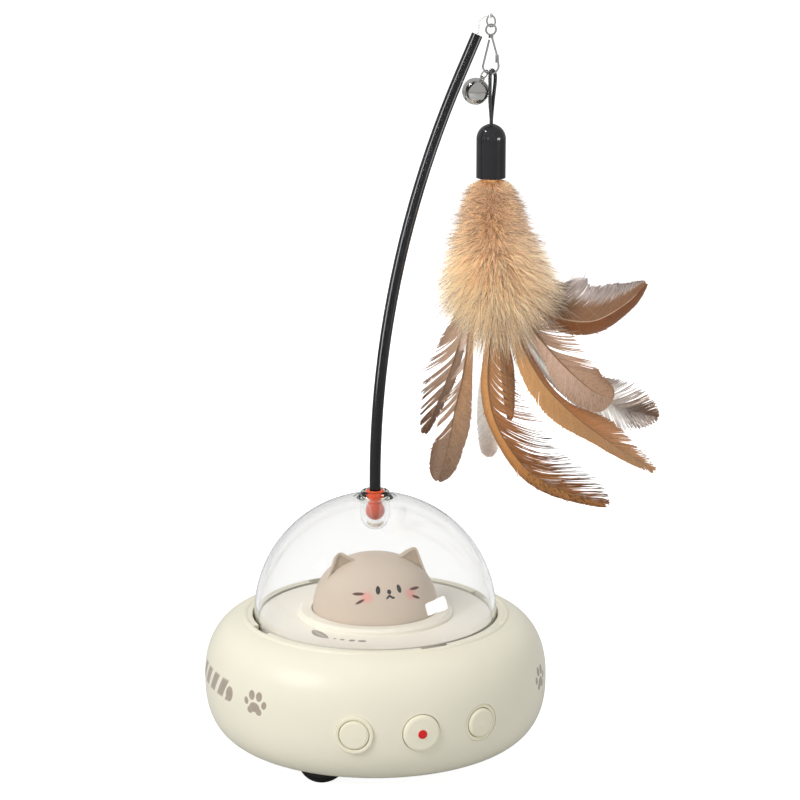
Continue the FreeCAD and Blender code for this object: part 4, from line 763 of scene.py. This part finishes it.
def barb(name, shaft, side, root, vane, dice, pull):
    """One barb: its points, widths across, and colours, from the shaft to the vane's edge."""
    draw, curl, ragged = (0.5, 0.9, 0.14) if name in CURLED else (0.55, 0.35, 0.25)
    spine, sweep, blunt, length = shaft
    widths, colours, edge = vane
    lock, gape = pull
    loose = gape
    reach = dice.uniform(0.97 - 0.05 * loose, 1.03) * (1 - ragged * loose * dice.random())
    if dice.random() < 0.06:
        reach, loose = reach * dice.uniform(1.05, 1.2), max(loose, 0.6)
    swept = (sweep + curl * loose) * max(vane_width(widths, blunt, root), 1.2) / length
    path, across, breadth, tints = [], [], [], []
    wave = dice.uniform(-0.35, 0.35) * (0.1 + loose)
    for step in range(BARB_STEPS + 1):
        t = step / BARB_STEPS
        place = root + (1 - root) * (1 - math.exp(-swept * t / max(1 - root, 0.02)))
        place += (lock - root) * gape * draw * t * t
        out = vane_width(widths, blunt, place) * t * reach
        ahead = through(spine, min(place + 0.01, 1.0)) - through(spine, place - 0.01)
        ahead.normalize()
        right = ahead.cross(FACING).normalized() * side
        lift = -0.05 * out * out / max(widths[2], 1) + wave * t * t + 0.05 * math.sin(root * 40)
        path.append(through(spine, place) + right * out + FACING * lift)
        along = (ahead + right * 0.9).normalized()
        flat = along.cross(FACING).normalized()
        across.append((flat + FACING * 0.6 * side).normalized())
        taper = 1 if t < 0.9 else 0.35
        breadth.append((0.72 - 0.12 * t - 0.42 * loose * min(t * 1.6, 1)) * taper)
        shade = mixed(through_colour(colours, place), edge, max(t - 0.55, 0) * 1.5)
        tints.append(marked(name, shade, place, t, side, dice))
    level = dice.uniform(0.93 - 0.2 * loose, 1.05 + 0.06 * loose)
    return path, across, breadth, [tinted(shade, level) for shade in tints]


def through_colour(colours, share):
    """A colour part of the way through a row of colours."""
    return tuple(max(through([colour[k] for colour in colours], share), 0) for k in range(3))


def marked(name, shade, place, t, side, dice):
    """The speckles and dark ends that some of the feathers have."""
    if name == "feather_speckled" and side > 0:
        dim = DARK if place > 0.55 else BROWN
        shade = mixed(shade, dim, (t - 0.2) * 1.5 * min(place * 1.6, 1))
        if place > 0.66 and dice.random() < 0.35:
            shade = mixed(shade, dice.choice((DARK, PALE, OCHRE)), 0.75)
    elif name == "feather_speckled" and place > 0.7 and dice.random() < 0.3:
        shade = mixed(shade, DARK, 0.65)
    elif name == "feather_small" and math.sin(place * 55) * math.cos(t * 5) > 0.35:
        shade = mixed(shade, DARK, 0.45 * dice.random())
    elif name in ("feather_left", "feather_round") and dice.random() < 0.2 * place:
        shade = mixed(shade, BROWN, 0.5)
    elif name == "feather_wing" and side > 0:
        shade = mixed(BROWN, shade, (t - 0.32 - 0.15 * dice.random()) * 8)
        if t > 0.4 and dice.random() < 0.4:
            shade = mixed(shade, dice.choice((DARK, PALE)), 0.5 * dice.random())
    elif name == "feather_down" and place > 0.75 and dice.random() < 0.3:
        shade = mixed(shade, tone(160, 122, 92), 0.7)
    return shade


def opening(stretches, root, locks):
    """Where a barb's lock of neighbours draws to, and how far the vane is open there."""
    gape = 0.0
    for start, end, most in stretches:
        if start <= root <= end:
            gape = most * min(1, (root - start) / 0.08, (end - root) / 0.08 + 0.25)
    lock = min(locks, key=lambda middle: abs(middle - root))
    return lock, gape


def feather(name, material, count):
    """One feather: a tapering shaft and two vanes of barbs that part where they are open."""
    points, sweep, blunt, *vanes = FEATHERS[name]
    dice = random.Random(name)
    spine = [MOUTH + Vector(point) for point in points]
    length = sum((b - a).length for a, b in zip(spine, spine[1:]))
    ribbons = Ribbons()
    for side, (widths, colours, edge, stretches) in zip((1, -1), vanes):
        full = (VANE_END, *widths, VANE_END)
        locks, place = [], 0.0
        while place < 1:
            locks.append(place)
            place += dice.uniform(0.012, 0.045) * (2.6 if name in CURLED else 1)
        for index in range(count):
            root = (index + dice.random() * 0.6) / count * 0.985
            lock, gape = opening(stretches, root, locks)
            if gape > 0.7 and dice.random() < 0.12:
                continue
            if name in CURLED and gape > 0.5 and abs(lock - root) > 0.024:
                continue
            ribbons.add(*barb(name, (spine, sweep, blunt, length), side, root,
                              (full, colours, edge), dice, (lock, gape)))
    steps = range(STEM_STEPS)
    stem = [through(spine, step / STEM_STEPS) - FACING * 0.12 for step in steps]
    thick = [STEM_RADIUS * (1 - STEM_TAPER * step / STEM_STEPS) for step in steps]
    horn = HORNS.get(name, tone(150, 112, 78))
    ribbons.tube(stem, thick, [mixed(tinted(horn, 0.75), horn, step / STEM_STEPS)
                               for step in steps])
    ribbons.piece(name.replace("feather", "plume"), material, "lure",
                  None if name == "feather_small" else name, "feather_brown")


def all_feathers():
    """Every feather: the two light ones let more light through than the brown ones."""
    vane, light = plume("feather_vane", 0.55, 0.3, 0.4), plume("feather_light", 0.55, 0.5, 0.8)
    for name in FEATHERS:
        feather(name, light if name in ("feather_down", "feather_pale") else vane,
                170 if name == "feather_speckled" else 240)


# Down tuft. Depths are in millimetres below the cap's mouth.

TUFT = ((0, 4.8), (1.8, 6.4), (3.5, 7.9), (7.7, 10.0), (12, 11.6), (20.5, 14.2), (29, 17.2),
        (37.5, 19.6), (43, 19.8), (47.7, 17.4), (56, 12))
TUFT_DEPTH, TUFT_LEAN, CORE_SHARE = 44, 0.045, 0.4
STRAND_STEPS, STRAND_WIDTHS = 5, (0.18, 0.18, 0.17, 0.14, 0.1, 0.04)


def tuft_radius(depth):
    """How far the tuft's down reaches at a depth."""
    for (above, upper), (below, lower) in zip(TUFT, TUFT[1:]):
        if above <= depth <= below:
            return upper + (lower - upper) * (depth - above) / (below - above)
    return TUFT[-1][1]


def tuft_middle(depth):
    """The tuft leans a little to the right on its way down."""
    return MOUTH + Vector((TUFT_LEAN * depth, 0, -depth))


def down_strand(dice, depth, turn):
    """One strand: straight out like a brush near the cap, fanning down and out lower."""
    drop = min(depth / TUFT_DEPTH, 1)
    fan = min(max(drop - 0.42, 0) * 3.2, 1)
    fall = dice.uniform(-1.2, 2.6) * (1 - fan) + fan * dice.uniform(2, 22) * drop
    fall += 2.2 * max(1 - drop * 12, 0)
    reach = tuft_radius(depth + fall) * dice.choice((0.55, 0.75, 0.88, 0.98, 1.0, 1.06))
    out = Vector((math.cos(turn), math.sin(turn), 0))
    reach *= dice.uniform(0.86, 1.08) * (1 + 0.3 * max(out.x, 0) * fan)
    stray = dice.random() < 0.12
    if stray and drop > 0.06:
        reach, fall = reach * dice.uniform(1.1, 1.34), fall + fan * dice.uniform(0, 12)
    seat = reach * dice.uniform(0.02, 0.45)
    astray = Vector((-out.y, out.x, 0)) * dice.uniform(-1, 1) * (1.9 + 2.2 * fan)
    astray.z = dice.uniform(-2.4, 2.4) * min(drop * 5, 1)
    bend = dice.uniform(0.8, 1.5)
    path = []
    for step in range(STRAND_STEPS + 1):
        t = step / STRAND_STEPS
        away = seat + (reach - seat) * (t * 1.2 - 0.2 * t * t)
        path.append(tuft_middle(depth) + out * away + astray * (t * t)
                    - Vector((0, 0, fall * t ** bend)))
    return path, out, stray


def down_tint(depth, turn, t):
    """Tan down: deep at the core, rosy on the right, with brown ends that fade lower down."""
    deep, warm, light = tone(196, 142, 90), tone(255, 226, 180), tone(255, 246, 226)
    shade = mixed(deep, warm, t * 1.9 - 0.35)
    shade = mixed(shade, light, (t - 0.45) * 1.6)
    high = min(max((28 - depth) / 14, 0.25), 1)
    shade = mixed(shade, CORE_TAN, max(t - 0.7, 0) * 3 * high)
    rosy = max(math.cos(turn), 0) * min(depth / 25, 1) * 0.6
    return mixed(shade, tone(254, 228, 206), rosy * t)


def down_tuft():
    """The tuft: a tapered core and two coats of fine strands, straighter at the top."""
    coat = plume("down_fibre", 0.8, 0.4, 0.75)
    dice = random.Random(5)
    core = Ribbons()
    rows = [0.2 + step for step in range(50)]
    core.tube([tuft_middle(depth) for depth in rows],
              [tuft_radius(depth) * CORE_SHARE for depth in rows], [CORE_TAN] * len(rows), 32)
    core.piece("down_core", coat, "lure", "down_tuft", "down_tan")
    for name, shallow, deep, count in (("down_upper", 0.5, 21, 13000),
                                       ("down_lower", 19, TUFT_DEPTH, 17000)):
        strands = Ribbons()
        for _ in range(count):
            depth = deep - (deep - shallow) * dice.random()
            turn = dice.uniform(0, 2 * math.pi)
            path, out, stray = down_strand(dice, depth, turn)
            lean = dice.uniform(0, math.pi)
            side = out.cross(Vector((0, 0, 1))) * math.cos(lean) + Vector((0, 0, math.sin(lean)))
            level = dice.uniform(0.93, 1.29)
            if dice.random() < 0.06:
                level = 0.42
            tints = [down_tint(depth, turn, step / STRAND_STEPS)
                     for step in range(STRAND_STEPS + 1)]
            if stray:
                tints = [mixed(shade, STRAY, 0.8) for shade in tints]
            strands.add(path, [side] * len(path), STRAND_WIDTHS,
                        [tinted(shade, level) for shade in tints])
        strands.piece(name, coat, "lure", None, "down_tan")


dress_shell()
dress_deck()
dress_head()
dress_clear()
dress_wand()
dress_buttons()
dress_works()
hang_cord()
all_feathers()
down_tuft()
aim_camera()
set_lamps()
light_backdrop()
lay_floor()
